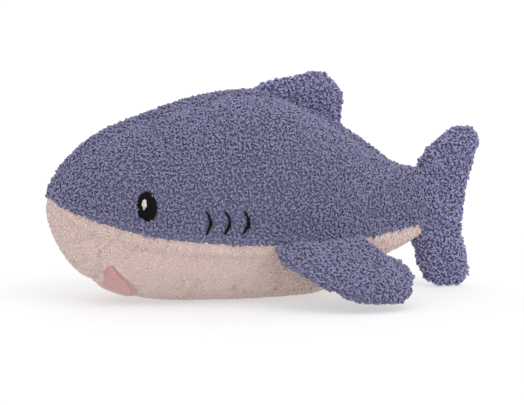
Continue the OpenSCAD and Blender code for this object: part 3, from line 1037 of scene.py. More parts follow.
@dataclass
class Body:
    """The sewn and stuffed body with its face.

    The cloth is cut inside the form by the room that the pile and the puffing need. Near the nose and the
    tail, and along the seams, a lift takes the place of the puffing.
    """

    wardrobe: Wardrobe
    curls: CurlKit
    fleece: CurlKit
    form: BodyForm = field(default_factory=BodyForm)
    rings: int = 110
    back_columns: int = 34
    belly_columns: int = 34
    pile_room: float = 3.0 * MM
    least_room: float = 0.9 * MM
    seam_lift: float = 5.2 * MM
    seam_depth: float = 0.9 * MM
    seam_reach: float = 4.0 * MM
    cloth: float = 1.0 * MM
    puff: float = 3.0 * MM
    # shares of the puff: how far it may sink in, how high the nose and the rear are lifted, and the even
    # puff of a quick build
    sink: float = 0.1
    nose_lift: float = 1.3
    rear_lift: float = 1.4
    quick_puff: float = 0.9
    # share of the sideways movement that the cloth keeps
    slide: float = 0.5
    # how far each lift reaches
    nose_reach: float = 8 * MM
    rear_reach: float = 30 * MM
    lift_reach: float = 6 * MM
    # where the pile of each panel is divided, as a share of the rings
    back_split: float = 0.47
    belly_split: float = 0.42
    floor_room: float = 1.4 * MM
    belly_swell: float = 1.2 * MM
    filling_room: float = 6.5 * MM
    lump: float = 1.2 * MM
    # the tail end's rings: size as a share of the body's rim, and millimetres behind it
    end_rings: tuple = ((0.90, -4.0), (0.97, -0.5), (0.92, 1.2), (0.72, 2.6), (0.42, 3.4), (0.12, 3.7))

    def build(self) -> None:
        """Build every piece of the body."""
        self._cut()
        self.face = Face(self)
        self._panels()
        self._belly()
        self._tail_end()
        self._filling()

    def _layout(self) -> np.ndarray:
        """Lay rings of points on the form, with a column along each seam.

        Returns:
            Points of shape (rings, columns, 3).
        """
        form = self.form
        q = form.at(form.even_places(self.rings))
        seam = form.seam_angle(q)[:, None]
        nb, nc = self.back_columns, self.belly_columns
        left = np.pi / 2 + (seam - np.pi / 2) * np.linspace(0, 1, nb + 1)[None, :]
        under = seam + (-np.pi - 2 * seam) * np.linspace(0, 1, nc + 1)[None, :]
        right = (-np.pi - seam) + (-np.pi / 2 + seam) * np.linspace(0, 1, nb + 1)[None, :]
        angle = np.concatenate([left[:, :-1], under[:, :-1], right[:, :-1]], 1)
        self.seam_columns = (0, nb, nb + nc)
        return np.roll(form.points(q, angle)[:, ::-1], 1, axis=1)

    def _puff_up(self, inner: np.ndarray, normal: np.ndarray) -> np.ndarray:
        """Puff the cloth up between its seams, within limits.

        Args:
            inner: The cloth as it is cut, of shape (rings, columns, 3).
            normal: The outward normal at each point.

        Returns:
            How far each point moves.
        """
        columns = inner.shape[1]
        starts = np.arange(self.rings) * columns
        pinned = np.concatenate([starts + c for c in self.seam_columns]
                                + [np.arange(columns), starts[-1] + np.arange(columns)])
        puffed = inflate(bag("body_form", inner), pinned, 2 * self.puff)[: self.rings * columns]
        step = puffed.reshape(inner.shape) - inner
        rise = (step * normal).sum(-1, keepdims=True)
        sideways = (step - rise * normal) * self.slide
        return sideways + np.clip(rise, -self.sink * self.puff, self.puff) * normal

    @staticmethod
    def _to_seams(grid: np.ndarray, columns: tuple[int, ...]) -> np.ndarray:
        """Give the distance from each point to the nearest of some columns of its ring."""
        return np.min([np.linalg.norm(grid - grid[:, c:c + 1], axis=-1) for c in columns], 0)

    def _cut(self) -> None:
        """Lay out the panels on the form, puff them up and pull the seams in."""
        form, grid = self.form, self._layout()
        normal = self._outward(grid)
        inner = grid - normal * (self.pile_room + self.puff)
        inner[..., 1] = np.minimum(inner[..., 1], form.tail - 0.5 * MM)
        step = self._puff_up(inner, normal)
        self.near = self._to_seams(grid, self.seam_columns)
        self.side_near = self._to_seams(grid, self.seam_columns[1:])
        front = np.exp(-((grid[..., 1] - form.nose) / self.nose_reach) ** 2)
        end = np.abs(grid[..., 1] - form.tail)
        rear = np.exp(-(end / self.rear_reach) ** 4)
        seam = np.exp(-(np.minimum(self.near, end) / self.lift_reach) ** 2)
        lift = np.maximum.reduce([self.seam_lift * seam, self.nose_lift * self.puff * front,
                                  self.rear_lift * self.puff * rear])
        pinch = self.seam_depth * (np.exp(-(self.near / self.seam_reach) ** 2)
                                   + np.exp(-(end / self.seam_reach) ** 2))
        step = step * (1 - front)[..., None] * (1 - rear)[..., None]
        self.ground = inner + step + normal * (lift - pinch)[..., None]
        over = ((self.ground - grid) * normal).sum(-1, keepdims=True) + self.least_room
        self.ground -= np.maximum(over, 0) * normal
        self.ground[..., 2] = np.maximum(self.ground[..., 2], self.floor_room)
        self.normal = self._outward(self.ground)
        closed = bag("probe", self.ground)
        self.tree = BVHTree.FromPolygons([tuple(v.co) for v in closed.data.vertices],
                                         [tuple(p.vertices) for p in closed.data.polygons])
        bpy.data.objects.remove(closed)

    @staticmethod
    def _outward(grid: np.ndarray) -> np.ndarray:
        """Give normals that point away from the middle line of the body.

        Args:
            grid: Rings of points.

        Returns:
            Normals of the same shape.
        """
        normal = grid_normals(grid, True)
        centre = grid.mean(1, keepdims=True)
        away = np.sign(((grid - centre) * normal).sum(-1, keepdims=True).mean())
        return normal * away

    def _strip(self, first: int, last: int) -> np.ndarray:
        """List the columns from one seam to the next, both seams included."""
        return np.arange(first, last + 1) % self.ground.shape[1]

    def hit(self, origin: tuple, direction: tuple) -> tuple[Vector, Vector]:
        """Find where a line meets the cloth.

        Args:
            origin: Start of the line.
            direction: The way it runs.

        Returns:
            The place, and the outward normal there.
        """
        place, normal, _, _ = self.tree.ray_cast(Vector(origin), Vector(direction))
        if normal.dot(Vector(direction)) > 0:
            normal = -normal
        return place, normal

    def _lengths(self, share: float) -> tuple[tuple[int, str, slice], ...]:
        """Divide the rings into a front and a rear length that share one ring."""
        middle = int(self.rings * share)
        return (0, "front", slice(0, middle + 1)), (1, "rear", slice(middle, self.rings))

    def _panels(self) -> None:
        """Build the two curly back panels and their pile."""
        nb, nc = self.back_columns, self.belly_columns
        strips = {Side.LEFT: self._strip(nb + nc, 2 * nb + nc), Side.RIGHT: self._strip(0, nb)}
        if self.ground[self.rings // 2, strips[Side.LEFT]].mean(0)[0] < 0:
            strips = {Side.LEFT: strips[Side.RIGHT], Side.RIGHT: strips[Side.LEFT]}
        for side, strip in strips.items():
            outer, normal = self.ground[:, strip], self.normal[:, strip]
            name = f"back_panel_{side.name.lower()}"
            panel = shell(f"{name}_cloth", outer, normal, self.cloth)
            finish_piece(panel, "body", (name,), self.wardrobe.backing)
            cover = self.face.clear_of(outer, side) * np.clip(self.side_near[:, strip] / (0.8 * MM), 0, 1)
            first = Seed.BACK.value + (0 if side is Side.LEFT else 2)
            for number, part, rows in self._lengths(self.back_split):
                pile = grow_pile(f"{name}_pile_{part}", outer[rows], normal[rows], cover[rows], self.curls,
                                 first + number, self.wardrobe.curls)
                finish_piece(pile, "body")
        self.face.build()

    def _belly(self) -> None:
        """Build the belly, its short pile and the mouth on it."""
        strip = self._strip(self.back_columns, self.back_columns + self.belly_columns)
        near, normal = self.near[:, strip], self.normal[:, strip]
        swell = self.belly_swell * (1 - np.exp(-(near / (3 * MM)) ** 2))
        fold = self.face.chin_fold(self.ground[:, strip])
        outer = self.ground[:, strip] + normal * (swell - fold)[..., None]
        outer[..., 2] = np.maximum(outer[..., 2], 1.2 * MM)
        belly = shell("belly_panel_cloth", outer, normal, self.cloth)
        finish_piece(belly, "body", ("belly_panel",), self.wardrobe.belly)
        cover = self.face.clear_of_mouth(outer)
        for number, part, rows in self._lengths(self.belly_split):
            pile = grow_pile(f"belly_pile_{part}", outer[rows], normal[rows], cover[rows], self.fleece,
                             Seed.BELLY.value + number, self.wardrobe.fleece, spacing=1.2 * MM, lean=0.2)
            finish_piece(pile, "body")
        self.face.smile(outer, normal)

    def _tail_end(self) -> None:
        """Close the body behind the tail fin's root with curly cloth, so that a bent tail opens no gap."""
        rim = self.ground[-1]
        middle = rim.mean(0)
        rings = np.array([middle + (rim - middle) * share + np.array([0, back * MM, 0])
                          for share, back in self.end_rings])
        cap = bag("tail_seam_cloth", rings)
        finish_piece(cap, "body", (), self.wardrobe.backing)
        strip = np.arange(rim.shape[0] + 1) % rim.shape[0]
        normal = grid_normals(rings, True)
        normal *= np.sign(((rings - middle + np.array([0, 8 * MM, 0])) * normal).sum())
        cover = np.ones((len(rings) - 1, len(strip)))
        pile = grow_pile("tail_seam_pile", rings[1:, strip], normal[1:, strip], cover, self.curls,
                         Seed.TAIL.value + 3, self.wardrobe.curls)
        finish_piece(pile, "body")

    def _filling(self) -> None:
        """Build the filling, a little lumpy, well inside the seams."""
        step = self.ground[3:-2:3, ::3]
        normal = self.normal[3:-2:3, ::3]
        lumps = self.lump * np.prod(np.sin(step * np.array([210, 170, 190]) + np.array([0, 1, 0])), -1)
        fill = bag("body_filling", step - normal * (self.filling_room + lumps)[..., None])
        finish_piece(fill, "body", ("body_stuffing",), self.wardrobe.filling)


@dataclass
class Face:
    """Eyes, gills and mouth, embroidered and sewn on the body."""

    body: Body
    thread: float = 0.24 * MM
    pitch: float = 0.40 * MM
    sunk: float = 1.3 * MM
    gill_bow: float = 3 * MM
    chin_level: float = 0.045
    patch_thickness: float = 0.8 * MM

    def __post_init__(self) -> None:
        """Read the places of the embroidery from the frame."""
        self.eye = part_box("eye_left")
        self.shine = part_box("eye_highlight_left")
        self.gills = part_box("gill_stitches_left")
        low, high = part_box("mouth_patch")
        self.half, self.lip, self.depth = high.x, low.y, high.y - low.y - 0.5 * MM
        low, high = self.gills
        self.gill_half = (high.z - low.z) / 2 - 0.6 * MM
        reach = high.y - low.y - self.gill_bow - 2.2 * MM
        first = low.y + 1.1 * MM
        self.gill_starts = [first + reach * k / 2 for k in range(3)]

    def _oval(self, box: tuple[Vector, Vector]) -> tuple[float, float, float, float]:
        """Give an oval's centre and half sizes along the body and upwards."""
        low, high = box
        return (low.y + high.y) / 2, (low.z + high.z) / 2, (high.y - low.y) / 2, (high.z - low.z) / 2

    def gill_line(self, start: float, u: np.ndarray) -> tuple[np.ndarray, np.ndarray]:
        """Give y and z along one gill arc, for u from -1 at the top to 1 at the bottom."""
        centre = (self.gills[0].z + self.gills[1].z) / 2
        return start + self.gill_bow * (1 - u**2), centre - u * self.gill_half

    def clear_of(self, points: np.ndarray, side: Side) -> np.ndarray:
        """Say where curls may grow.

        Args:
            points: Points of the cloth.
            side: The side of the shark whose embroidery counts.

        Returns:
            0 under the embroidery and 1 elsewhere, for each point.
        """
        y0, z0, a, b = self._oval(self.eye)
        y, z = points[..., 1], points[..., 2]
        facing = points[..., 0] * side.value > 0
        reach = np.sqrt(((y - y0) / a) ** 2 + ((z - z0) / b) ** 2)
        free = np.where(facing, np.clip((reach - 1.08) / 0.05, 0, 1), 1.0)
        for start in self.gill_starts:
            ys, zs = self.gill_line(start, np.linspace(-1, 1, 15))
            gap = np.min(np.hypot(y[..., None] - ys, z[..., None] - zs), -1)
            free *= np.where(facing, np.clip((gap - 1.5 * MM) / (0.4 * MM), 0, 1), 1.0)
        return free

    def _lips(self, u: np.ndarray) -> tuple[np.ndarray, np.ndarray]:
        """Give the front and rear edge of the mouth patch, for u from -1 to 1 across it."""
        room = np.clip(1 - u * u, 0, 1)
        return self.lip + 0.03 * self.depth * room, self.lip + self.depth * np.sqrt(np.clip(1 - u**6, 0, 1))

    def chin_fold(self, points: np.ndarray) -> np.ndarray:
        """Give the depth of the small fold that runs across the chin in front of the mouth.

        Args:
            points: Points of the belly's cloth.

        Returns:
            The fold's depth at each point.
        """
        front, _ = self._lips(points[..., 0] / self.half)
        under = (points[..., 2] < self.chin_level) & (np.abs(points[..., 0]) < 0.9 * self.half)
        fold = 1.6 * MM * np.exp(-((points[..., 1] - front + 3 * MM) / (1.8 * MM)) ** 2)
        return np.where(under, fold, 0)

    def clear_of_mouth(self, points: np.ndarray) -> np.ndarray:
        """Say where the belly's pile may grow.

        Args:
            points: Points of the belly's cloth.

        Returns:
            0 under the mouth patch and 1 elsewhere, for each point.
        """
        front, rear = self._lips(points[..., 0] / self.half)
        hem = 0.6 * MM
        inside = (points[..., 1] > front + hem) & (points[..., 1] < rear - hem)
        inside &= (np.abs(points[..., 0]) < self.half) & (points[..., 2] < self.chin_level)
        return np.where(inside, 0.0, 1.0)

    def build(self) -> None:
        """Build the embroidery of both sides."""
        for side in Side:
            word = side.name.lower()
            self._patch(f"eye_{word}", self.eye, side, self.body.wardrobe.black, 1.1 * MM, self.sunk)
            self._patch(f"eye_highlight_{word}", self.shine, side, self.body.wardrobe.white, 0.35 * MM,
                        self.sunk + 1.15 * MM)
            self._gill_arcs(side)

    def _lifted(self, side: Side, y: float, z: float, lift: float) -> np.ndarray:
        """Give the point at a height above the cloth, seen from one side."""
        place, normal = self.body.hit((0.2 * side.value, y, z), (-side.value, 0, 0))
        return np.array(place + normal * lift)

    def _patch(self, name: str, box: tuple, side: Side, material: bpy.types.Material, dome: float,
               lift: float) -> None:
        """Fill an oval with rows of satin stitches over a padded core.

        Args:
            name: The piece's and the CAD node's name.
            box: The CAD node's corners, which give the oval.
            side: Which side of the shark it is on.
            material: The thread's finish.
            dome: How much higher the middle stands than the rim.
            lift: Height of the rim above the cloth.
        """
        y0, z0, a, b = self._oval(box)

        def rise(share: float) -> float:
            """Give the height of the dome, for 0 in the middle and 1 at the rim."""
            return lift + dome * max(0.0, 1 - share) ** 0.6

        def ring(size: float, r: float, height: float) -> list[np.ndarray]:
            """Give an oval ring of points at one height above the cloth."""
            turns = np.linspace(0, 2 * math.pi, 28, endpoint=False)
            return [self._lifted(side, y0 + a * size * r * math.cos(t), z0 + b * size * r * math.sin(t),
                                 height) for t in turns]

        lines = []
        rows = int(2 * b / self.pitch)
        for k in range(rows + 1):
            v = -0.97 + 1.94 * k / rows
            width = a * math.sqrt(1 - v * v)
            count = max(4, int(width / (0.8 * MM)) + 3)
            lines.append(np.array([self._lifted(side, y0 + width * u, z0 + v * b,
                                                rise(u * u * (1 - v * v) + v * v))
                                   for u in np.linspace(-1, 1, count)]))
        top = np.array([ring(0.97, r, lift - 0.08 * MM + dome * (1 - r * r) ** 0.6)
                        for r in np.linspace(1, 0.12, 6)])
        low = np.array([ring(0.9, r, lift - 0.7 * MM) for r in (0.12, 0.6, 1.0)])
        core = bag(f"{name}_core", np.concatenate([low, top]))
        stitches = lay_stitches(f"{name}_stitches", lines, self.thread, material)
        finish_piece(core, "body", (name,), material)
        finish_piece(stitches, "body")

    def _gill_arcs(self, side: Side) -> None:
        """Sew three gill arcs, each a row of short satin stitches across the arc.

        Args:
            side: The side of the shark that they are on.
        """
        lines, name = [], f"gill_stitches_{side.name.lower()}"
        for start in self.gill_starts:
            count = int(2 * self.gill_half / self.pitch)
            us = np.linspace(-1, 1, count)
            ys, zs = self.gill_line(start, us)
            slope = np.gradient(ys) / np.minimum(np.gradient(zs), -1e-9)
            for k, (u, y, z, lean) in enumerate(zip(us, ys, zs, slope)):
                width = 0.7 * MM * math.sqrt(max(0.05, 1 - 0.85 * u * u))
                across = Vector((0, 1, -lean)).normalized()
                row = []
                for w in (-1, -0.5, 0, 0.5, 1):
                    lift = 1.5 * MM + 0.8 * MM * (1 - w * w)
                    row.append(self._lifted(side, y + across.y * w * width, z + across.z * w * width, lift))
                lines.append(np.array(row))
        stitches = lay_stitches(name + "_satin", lines, self.thread, self.body.wardrobe.black)
        finish_piece(stitches, "body", (name,))

    def smile(self, cloth: np.ndarray, normal: np.ndarray) -> None:
        """Sew the pink mouth patch on the belly, with its edge turned in and a crease near the rear edge.

        Args:
            cloth: The belly's outer points, of shape (rings, columns, 3).
            normal: The outward normal at each of them.
        """
        rings, columns = cloth.shape[:2]
        faces = quads(rings, columns)
        sheet = BVHTree.FromPolygons([tuple(p) for p in cloth.reshape(-1, 3)], faces)
        normals = normal.reshape(-1, 3)
        us = np.sin(np.radians(np.linspace(-83, 83, 60)))
        vs = np.linspace(0, 1, 41)
        lip, jaw = self._lips(us)
        grid, outwards = np.zeros((len(us), len(vs), 3)), np.zeros((len(us), len(vs), 3))
        for i, u in enumerate(us):
            wide = jaw[i] - lip[i]
            for j, v in enumerate(vs):
                edge = min(v * wide, (1 - v) * wide, (1 - abs(u)) * self.half)
                turned_in = math.exp(-(edge / (2.0 * MM)) ** 2)
                crease = math.exp(-(((1 - v) * wide - 2.8 * MM) / (0.6 * MM)) ** 2)
                seen = self.body.form.under(self.half * u, lip[i] + wide * v)
                place, _, face, _ = sheet.find_nearest(seen)
                out = unit(normals[list(faces[face])].mean(0))
                grid[i, j] = np.array(place) + out * (2.0 - 1.5 * turned_in - 1.1 * crease) * MM
                outwards[i, j] = out
        grid[..., 2] = np.maximum(grid[..., 2], 0.3 * MM)
        patch = shell("mouth_cloth", grid, outwards, self.patch_thickness)
        smooth = patch.modifiers.new("smooth", "SUBSURF")
        smooth.levels = smooth.render_levels = 1
        finish_piece(patch, "body", ("mouth_patch",), self.body.wardrobe.mouth)


# ---------------------------------------------------------------- fins


@dataclass
class Fin:
    """A stuffed fin of two curly panels sewn along its outline and into the body."""

    name: str
    body: str
    rows: np.ndarray
    origin: np.ndarray
    along: np.ndarray
    outwards: np.ndarray
    across: np.ndarray
    panels: tuple[str, str]
    stuffing: str
    bend: tuple
    seed: int
    curls: CurlKit
    wardrobe: Wardrobe
    pile: bpy.types.Material
    rooted: np.ndarray
    steps: int = 40
    arc: int = 18
    edge_room: float = 1.6 * MM
    face_room: float = 4.0 * MM
    puff: float = 1.6 * MM
    quick_puff: float = 0.5
    fullness: float = 2.2
    cloth: float = 0.8 * MM
    swell: float = 0.4 * MM
    seam_depth: float = 0.9 * MM
    seam_reach: float = 2.2 * MM
    filling_room: float = 4.5 * MM
    largest: float = 1.4

    def _section(self, s: np.ndarray) -> np.ndarray:
        """Give the fin's sections.

        Args:
            s: Places along the fin, counting one for each row.

        Returns:
            One row for each place: distance along the fin, centre, half chord, half thickness and
            whether it is sewn into the body.
        """
        rows = np.column_stack([self.rows[:, 0], (self.rows[:, 1] + self.rows[:, 2]) / 2,
                                (self.rows[:, 2] - self.rows[:, 1]) / 2, self.rows[:, 3], self.rooted])
        before, after = rows[1].copy(), rows[-2].copy()
        for pole, twin in ((rows[0], before), (rows[-1], after)):
            twin[1] = 2 * pole[1] - twin[1]
            twin[2:4] = -twin[2:4]
        return spline(np.vstack([before, rows, after]), s)

    def _grid(self, edge: float, face: float, steps: int, arc: int) -> np.ndarray:
        """Give closed rings of points inside the fin's skin.

        Args:
            edge: How far inside its outline.
            face: How far inside its two faces.
            steps: Number of rings.
            arc: Number of steps along each panel.

        Returns:
            Points of shape (steps, 2 * arc, 3).
        """
        last = len(self.rows) - 1
        fine = np.linspace(0.04, last - 0.04, 1200)
        q = self._section(fine)
        step = np.hypot(np.diff(q[:, 0]), np.hypot(np.diff(q[:, 1]), np.diff(q[:, 2])))
        run = np.concatenate([[0], np.cumsum(step)])
        q = self._section(np.interp(np.linspace(0, run[-1], steps), run, fine))
        middle = (self.rows[0, 0] + self.rows[-1, 0]) / 2
        reach = abs(self.rows[-1, 0] - self.rows[0, 0])
        place = middle + (q[:, 0] - middle) * (1 - 2 * edge / reach)
        chord = np.maximum(q[:, 2] - edge, 0.3 * q[:, 2])
        thick = np.maximum(q[:, 3] - face, 0.3 * q[:, 3])
        v = np.linspace(0, 2 * np.pi, 2 * arc, endpoint=False)
        out = q[:, 1:2] + chord[:, None] * spow(np.cos(v), 2 / self.fullness)[None, :]
        side = thick[:, None] * spow(np.sin(v), 2 / self.fullness)[None, :]
        return (self.origin + place[:, None, None] * self.along + out[..., None] * self.outwards
                + side[..., None] * self.across)

    def build(self) -> None:
        """Build the fin's two panels, their pile and its filling."""
        grid = self._grid(self.edge_room, self.face_room, self.steps, self.arc)
        count, columns = grid.shape[:2]
        pinned = np.concatenate([np.arange(count) * columns, np.arange(count) * columns + self.arc,
                                 np.arange(columns), (count - 1) * columns + np.arange(columns)])
        puffed = inflate(bag(self.name + "_form", grid), pinned, self.puff)
        puffed = puffed[: count * columns].reshape(grid.shape)
        near = np.minimum(np.linalg.norm(grid - grid[:, :1], axis=-1),
                          np.linalg.norm(grid - grid[:, self.arc:self.arc + 1], axis=-1))
        pinch = self.seam_depth * np.exp(-(near / self.seam_reach) ** 2)
        puffed = puffed + self._outward(puffed) * (self.swell - pinch)[..., None]
        outward = self._outward(puffed)
        halves = (np.arange(0, self.arc + 1), np.arange(self.arc, 2 * self.arc + 1) % columns)
        for number, (panel, strip) in enumerate(zip(self.panels, halves)):
            outer, normal = puffed[:, strip], outward[:, strip]
            cloth = shell(panel + "_cloth", outer, normal, self.cloth)
            finish_piece(cloth, self.body, (panel,), self.wardrobe.backing, self.bend)
            pile = grow_pile(panel + "_pile", outer, normal, np.ones(outer.shape[:2]), self.curls,
                             self.seed + number, self.pile, largest=self.largest)
            finish_piece(pile, self.body, (), None, self.bend)
        inside = self._grid(self.filling_room, self.filling_room, 12, 8)[1:-1]
        fill = bag(self.name + "_filling", inside)
        finish_piece(fill, self.body, (self.stuffing,), self.wardrobe.filling, self.bend)

    def _outward(self, grid: np.ndarray) -> np.ndarray:
        """Give the normals of rings of points, away from the fin's middle plane."""
        normal = grid_normals(grid, True)
        return normal * np.sign(np.dot(normal[grid.shape[0] // 2, self.arc // 2], self.across))


class Fins:
    """Lays out the four fins on the body."""

    ROOT = 5.0 * MM
    RIDGE_ROOT = 10 * MM
    DORSAL_HEIGHT = 24 * MM
    PECTORAL_REACH = 60 * MM
    PECTORAL_THICKNESS = 7 * MM
    PECTORAL_DROOP = 30
    # where the pectoral fins are sewn on, as shares of the body's length
    PECTORAL_ENDS = (0.527, 0.79)
    # each row: place along the fin, its two edges and its thickness, all as shares. An edge that is None
    # is sewn into the body.
    DORSAL_ROWS = ((0.15, None, 0.22, 0.78), (0.33, None, 0.14, 0.95), (0.50, None, 0.06, 1.0),
                   (0.68, None, 0.0, 1.0), (0.81, None, 0.07, 0.92), (0.90, None, 0.30, 0.8),
                   (0.97, 0.98, 0.55, 0.5))
    PECTORAL_ROWS = ((-1.12, 0.22, 0.22, 0), (-1.07, 0.07, 0.33, 0.35), (-0.95, None, 0.42, 0.62),
                     (-0.70, None, 0.62, 0.85), (-0.40, None, 0.83, 0.96), (-0.08, None, 0.95, 1.0),
                     (0.30, None, 1.0, 1.0), (0.68, None, 1.0, 0.96), (0.95, None, 0.93, 0.86),
                     (1.12, 0.24, 0.83, 0.7), (1.30, 0.39, 0.71, 0.45), (1.42, 0.55, 0.55, 0))
    TAIL_ROWS = ((0.0, 0.53, 0.53, 0), (0.03, 0.20, 0.84, 0.6), (0.13, 0.03, 0.86, 0.84),
                 (0.23, -0.03, 0.81, 0.94), (0.35, None, 0.76, 1.0), (0.55, None, 0.80, 1.0),
                 (0.70, -0.06, 0.88, 1.0), (0.83, 0.12, 0.97, 0.95), (0.92, 0.34, 1.03, 0.8),
                 (0.975, 0.52, 0.98, 0.55), (1.0, 0.78, 0.78, 0))

    def __init__(self, body: Body) -> None:
        """Keep the body that the fins are sewn to."""
        self.body = body
        self.form = body.form

    def _fin(self, **facts) -> Fin:
        """Make a fin with the body's curls and finishes."""
        return Fin(curls=self.body.curls, wardrobe=self.body.wardrobe, **facts)

    def dorsal(self) -> Fin:
        """Lay out the dorsal fin, whose rows run along the ridge of the back.

        Returns:
            The fin, ready to build.
        """
        low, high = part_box("dorsal_panel_left")
        start, length, peak = low.y, high.y - low.y, high.z
        height, half, root = self.DORSAL_HEIGHT, high.x, self.RIDGE_ROOT

        def base(y: float) -> float:
            """Give the height of the ridge less the part of the fin sewn in."""
            return float(self.form.at(np.array([self.form.place(y)]))[0, 2]) - root

        rows = [(start - 4 * MM, base(start) + 0.5 * root, base(start) + 0.5 * root, 0),
                (start, base(start), base(start) + root + 1.5 * MM, 0.45 * half)]
        for share, lower, upper, thick in self.DORSAL_ROWS:
            y = start + share * length
            inner = base(y) if lower is None else peak - lower * height
            rows.append((y, inner, peak - upper * height, thick * half))
        rows.append((start + length, peak - 0.78 * height, peak - 0.78 * height, 0))
        joint = self._joint("dorsal_flop")
        axis = np.array(joint["axis"]) / np.linalg.norm(joint["axis"])
        up = np.cross(X, axis)
        pos = np.array(joint["pos_m"])
        # the dorsal fin's pile is the lighter copy of the curly pile, with painted light
        return self._fin(name="dorsal", body="dorsal_fin", rows=np.array(rows), origin=np.zeros(3),
                         along=Y, outwards=Z, across=X,
                         panels=("dorsal_panel_left", "dorsal_panel_right"), stuffing="dorsal_stuffing",
                         bend=(tuple(pos - up * 4 * MM), tuple(pos + up * 6 * MM)), seed=Seed.DORSAL.value,
                         rooted=np.ones(len(rows)), steps=30, arc=12, pile=self.body.wardrobe.lit_fin_curls)

    def pectoral(self, side: Side) -> Fin:
        """Lay out one pectoral fin, whose rows run along the side seam.

        Args:
            side: The side of the shark that it is on.

        Returns:
            The fin, ready to build.
        """
        sign, word = side.value, side.name.lower()
        form = self.form
        ends = []
        for share in self.PECTORAL_ENDS:
            q = form.at(np.array([form.place(form.nose + share * (form.tail - form.nose))]))
            ends.append(form.points(q, form.seam_angle(q)[:, None])[0, 0])
        front, rear = ends
        middle = (front + rear) / 2
        along = unit(np.array([rear[0] - front[0], rear[1] - front[1], 0]))
        level = np.array([along[1], -along[0], 0])
        droop = math.radians(self.PECTORAL_DROOP)
        span = level * math.cos(droop) - np.array([0, 0, math.sin(droop)])
        half, reach = np.linalg.norm(rear - front) / 2, self.PECTORAL_REACH
        thickness = self.PECTORAL_THICKNESS
        rows = [(place * half, -self.ROOT * 0.6 if low is None else low * reach, high * reach,
                 thick * thickness) for place, low, high, thick in self.PECTORAL_ROWS]
        rooted = np.array([1.0 if low is None else 0.0 for _, low, _, _ in self.PECTORAL_ROWS])
        flip = np.array([sign, 1, 1])
        joint = self._joint(f"pectoral_{word}_flap")
        pos = np.array(joint["pos_m"])
        return self._fin(name=f"pectoral_{word}", body=f"pectoral_fin_{word}", rows=np.array(rows),
                         origin=middle * flip, along=along * flip, outwards=span * flip,
                         across=(level * math.sin(droop) + np.array([0, 0, math.cos(droop)])) * flip,
                         panels=(f"pectoral_{word}_upper", f"pectoral_{word}_lower"),
                         stuffing=f"pectoral_{word}_stuffing",
                         bend=(tuple(pos - span * flip * 5 * MM), tuple(pos + span * flip * 9 * MM)),
                         seed=Seed.PECTORAL.value + (0 if side is Side.LEFT else 4), rooted=rooted,
                         pile=self.body.wardrobe.curls)

    def tail(self) -> Fin:
        """Lay out the tail fin, whose rows run up from its lower tip.

        Returns:
            The fin, ready to build.
        """
        low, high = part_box("tail_panel_left")
        seam, reach = self.form.tail, high.y - self.form.tail
        height, thickness, foot = high.z - low.z, high.x, low.z
        rows = [(foot + place * height, -self.ROOT if near is None else near * reach, far * reach,
                 thickness * thick) for place, near, far, thick in self.TAIL_ROWS]
        rooted = np.array([1.0 if near is None else 0.0 for _, near, _, _ in self.TAIL_ROWS])
        pos = np.array(self._joint("tail_wag")["pos_m"])
        # the tail fin's pile is the lighter copy of the curly pile, with painted light
        return self._fin(name="tail", body="tail_fin", rows=np.array(rows), origin=np.array([0, seam, 0]),
                         along=Z, outwards=Y, across=X,
                         panels=("tail_panel_left", "tail_panel_right"), stuffing="tail_stuffing",
                         bend=((0, float(pos[1]) - 7 * MM, 0), (0, float(pos[1]) + 5 * MM, 0)),
                         seed=Seed.TAIL.value, rooted=rooted, steps=46, edge_room=0.6 * MM,
                         pile=self.body.wardrobe.lit_fin_curls)

    @staticmethod
    def _joint(name: str) -> dict:
        """Find a joint of the frame by name."""
        return next(j for j in frame["joints"] if j["name"] == name)

    def build(self) -> None:
        """Build all four fins."""
        for fin in (self.dorsal(), self.pectoral(Side.LEFT), self.pectoral(Side.RIGHT), self.tail()):
            fin.build()


# ---------------------------------------------------------------- studio


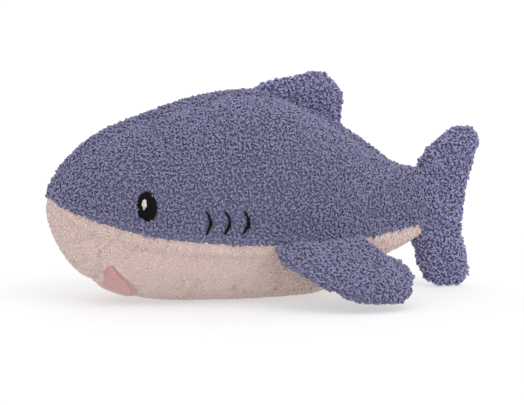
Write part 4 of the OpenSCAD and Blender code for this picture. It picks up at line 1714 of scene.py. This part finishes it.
@dataclass
class Studio:
    """Plain pale floor, soft light and the camera."""

    eye: tuple = (1.2353, -0.3813, 0.1925)
    forward: tuple = (-0.9511, 0.2908, -0.1045)
    lens: float = 145.38
    floor_reach: float = 40.0
    floor_glow: float = 0.5
    sky: float = 1.1
    sun: float = 0.9
    sun_spread: float = 50
    sunbeam: tuple = (-0.85, -0.45, -0.95)

    def build(self) -> None:
        """Build the studio."""
        self._camera()
        self._floor()
        self._lights()

    def _camera(self) -> None:
        """Place the camera."""
        data = bpy.data.cameras.new("camera")
        data.lens = self.lens
        data.sensor_width = 36
        data.clip_end = 120
        camera = bpy.data.objects.new("camera", data)
        bpy.context.scene.collection.objects.link(camera)
        camera.location = self.eye
        camera.rotation_euler = Vector(self.forward).to_track_quat("-Z", "Y").to_euler()
        bpy.context.scene.camera = camera

    def _floor(self) -> None:
        """Lay a wide pale floor."""
        half = self.floor_reach
        corners = np.array([(-half, -half, 0), (half, -half, 0), (half, half, 0), (-half, half, 0)])
        floor = new_object("floor", corners, [(0, 1, 2, 3)], False)
        surface = Surface("floor_paper")
        noise = surface.ink.add("ShaderNodeTexNoise", {"Scale": 60.0, "Detail": 3.0})
        tone = surface.ink.add("ShaderNodeMapRange", {0: noise.outputs["Fac"], 3: 0.38, 4: 0.40})
        material = surface.dress(tone.outputs[0], {"Roughness": 0.9, "Emission Color": (1, 1, 1, 1),
                                                   "Emission Strength": self.floor_glow})
        floor.data.materials.append(material)

    def _lights(self) -> None:
        """Light it like a soft box shot: a bright sky and a wide soft sun overhead."""
        scene = bpy.context.scene
        scene.view_settings.view_transform = "Standard"
        world = bpy.data.worlds.new("studio_sky")
        world.use_nodes = True
        sky = world.node_tree.nodes["Background"].inputs
        sky["Color"].default_value = (1, 1, 1, 1)
        sky["Strength"].default_value = self.sky
        scene.world = world
        sun = bpy.data.lights.new("sun", "SUN")
        sun.energy, sun.angle = self.sun, math.radians(self.sun_spread)
        lamp = bpy.data.objects.new("sun", sun)
        scene.collection.objects.link(lamp)
        lamp.rotation_euler = Vector(self.sunbeam).to_track_quat("-Z", "Y").to_euler()


def main() -> None:
    """Build the shark and the studio."""
    logging.basicConfig(level=logging.INFO, format="%(name)s: %(message)s")
    Studio().build()
    curls = CurlKit("long_curl", LONG_CURLS)
    fleece = CurlKit("short_curl", SHORT_CURLS, steps=3, sunk=0.85)
    body = Body(Wardrobe(), curls, fleece)
    body.build()
    Fins(body).build()
    for kit in (curls, fleece):
        kit.clear()


if __name__ == "__main__":
    main()
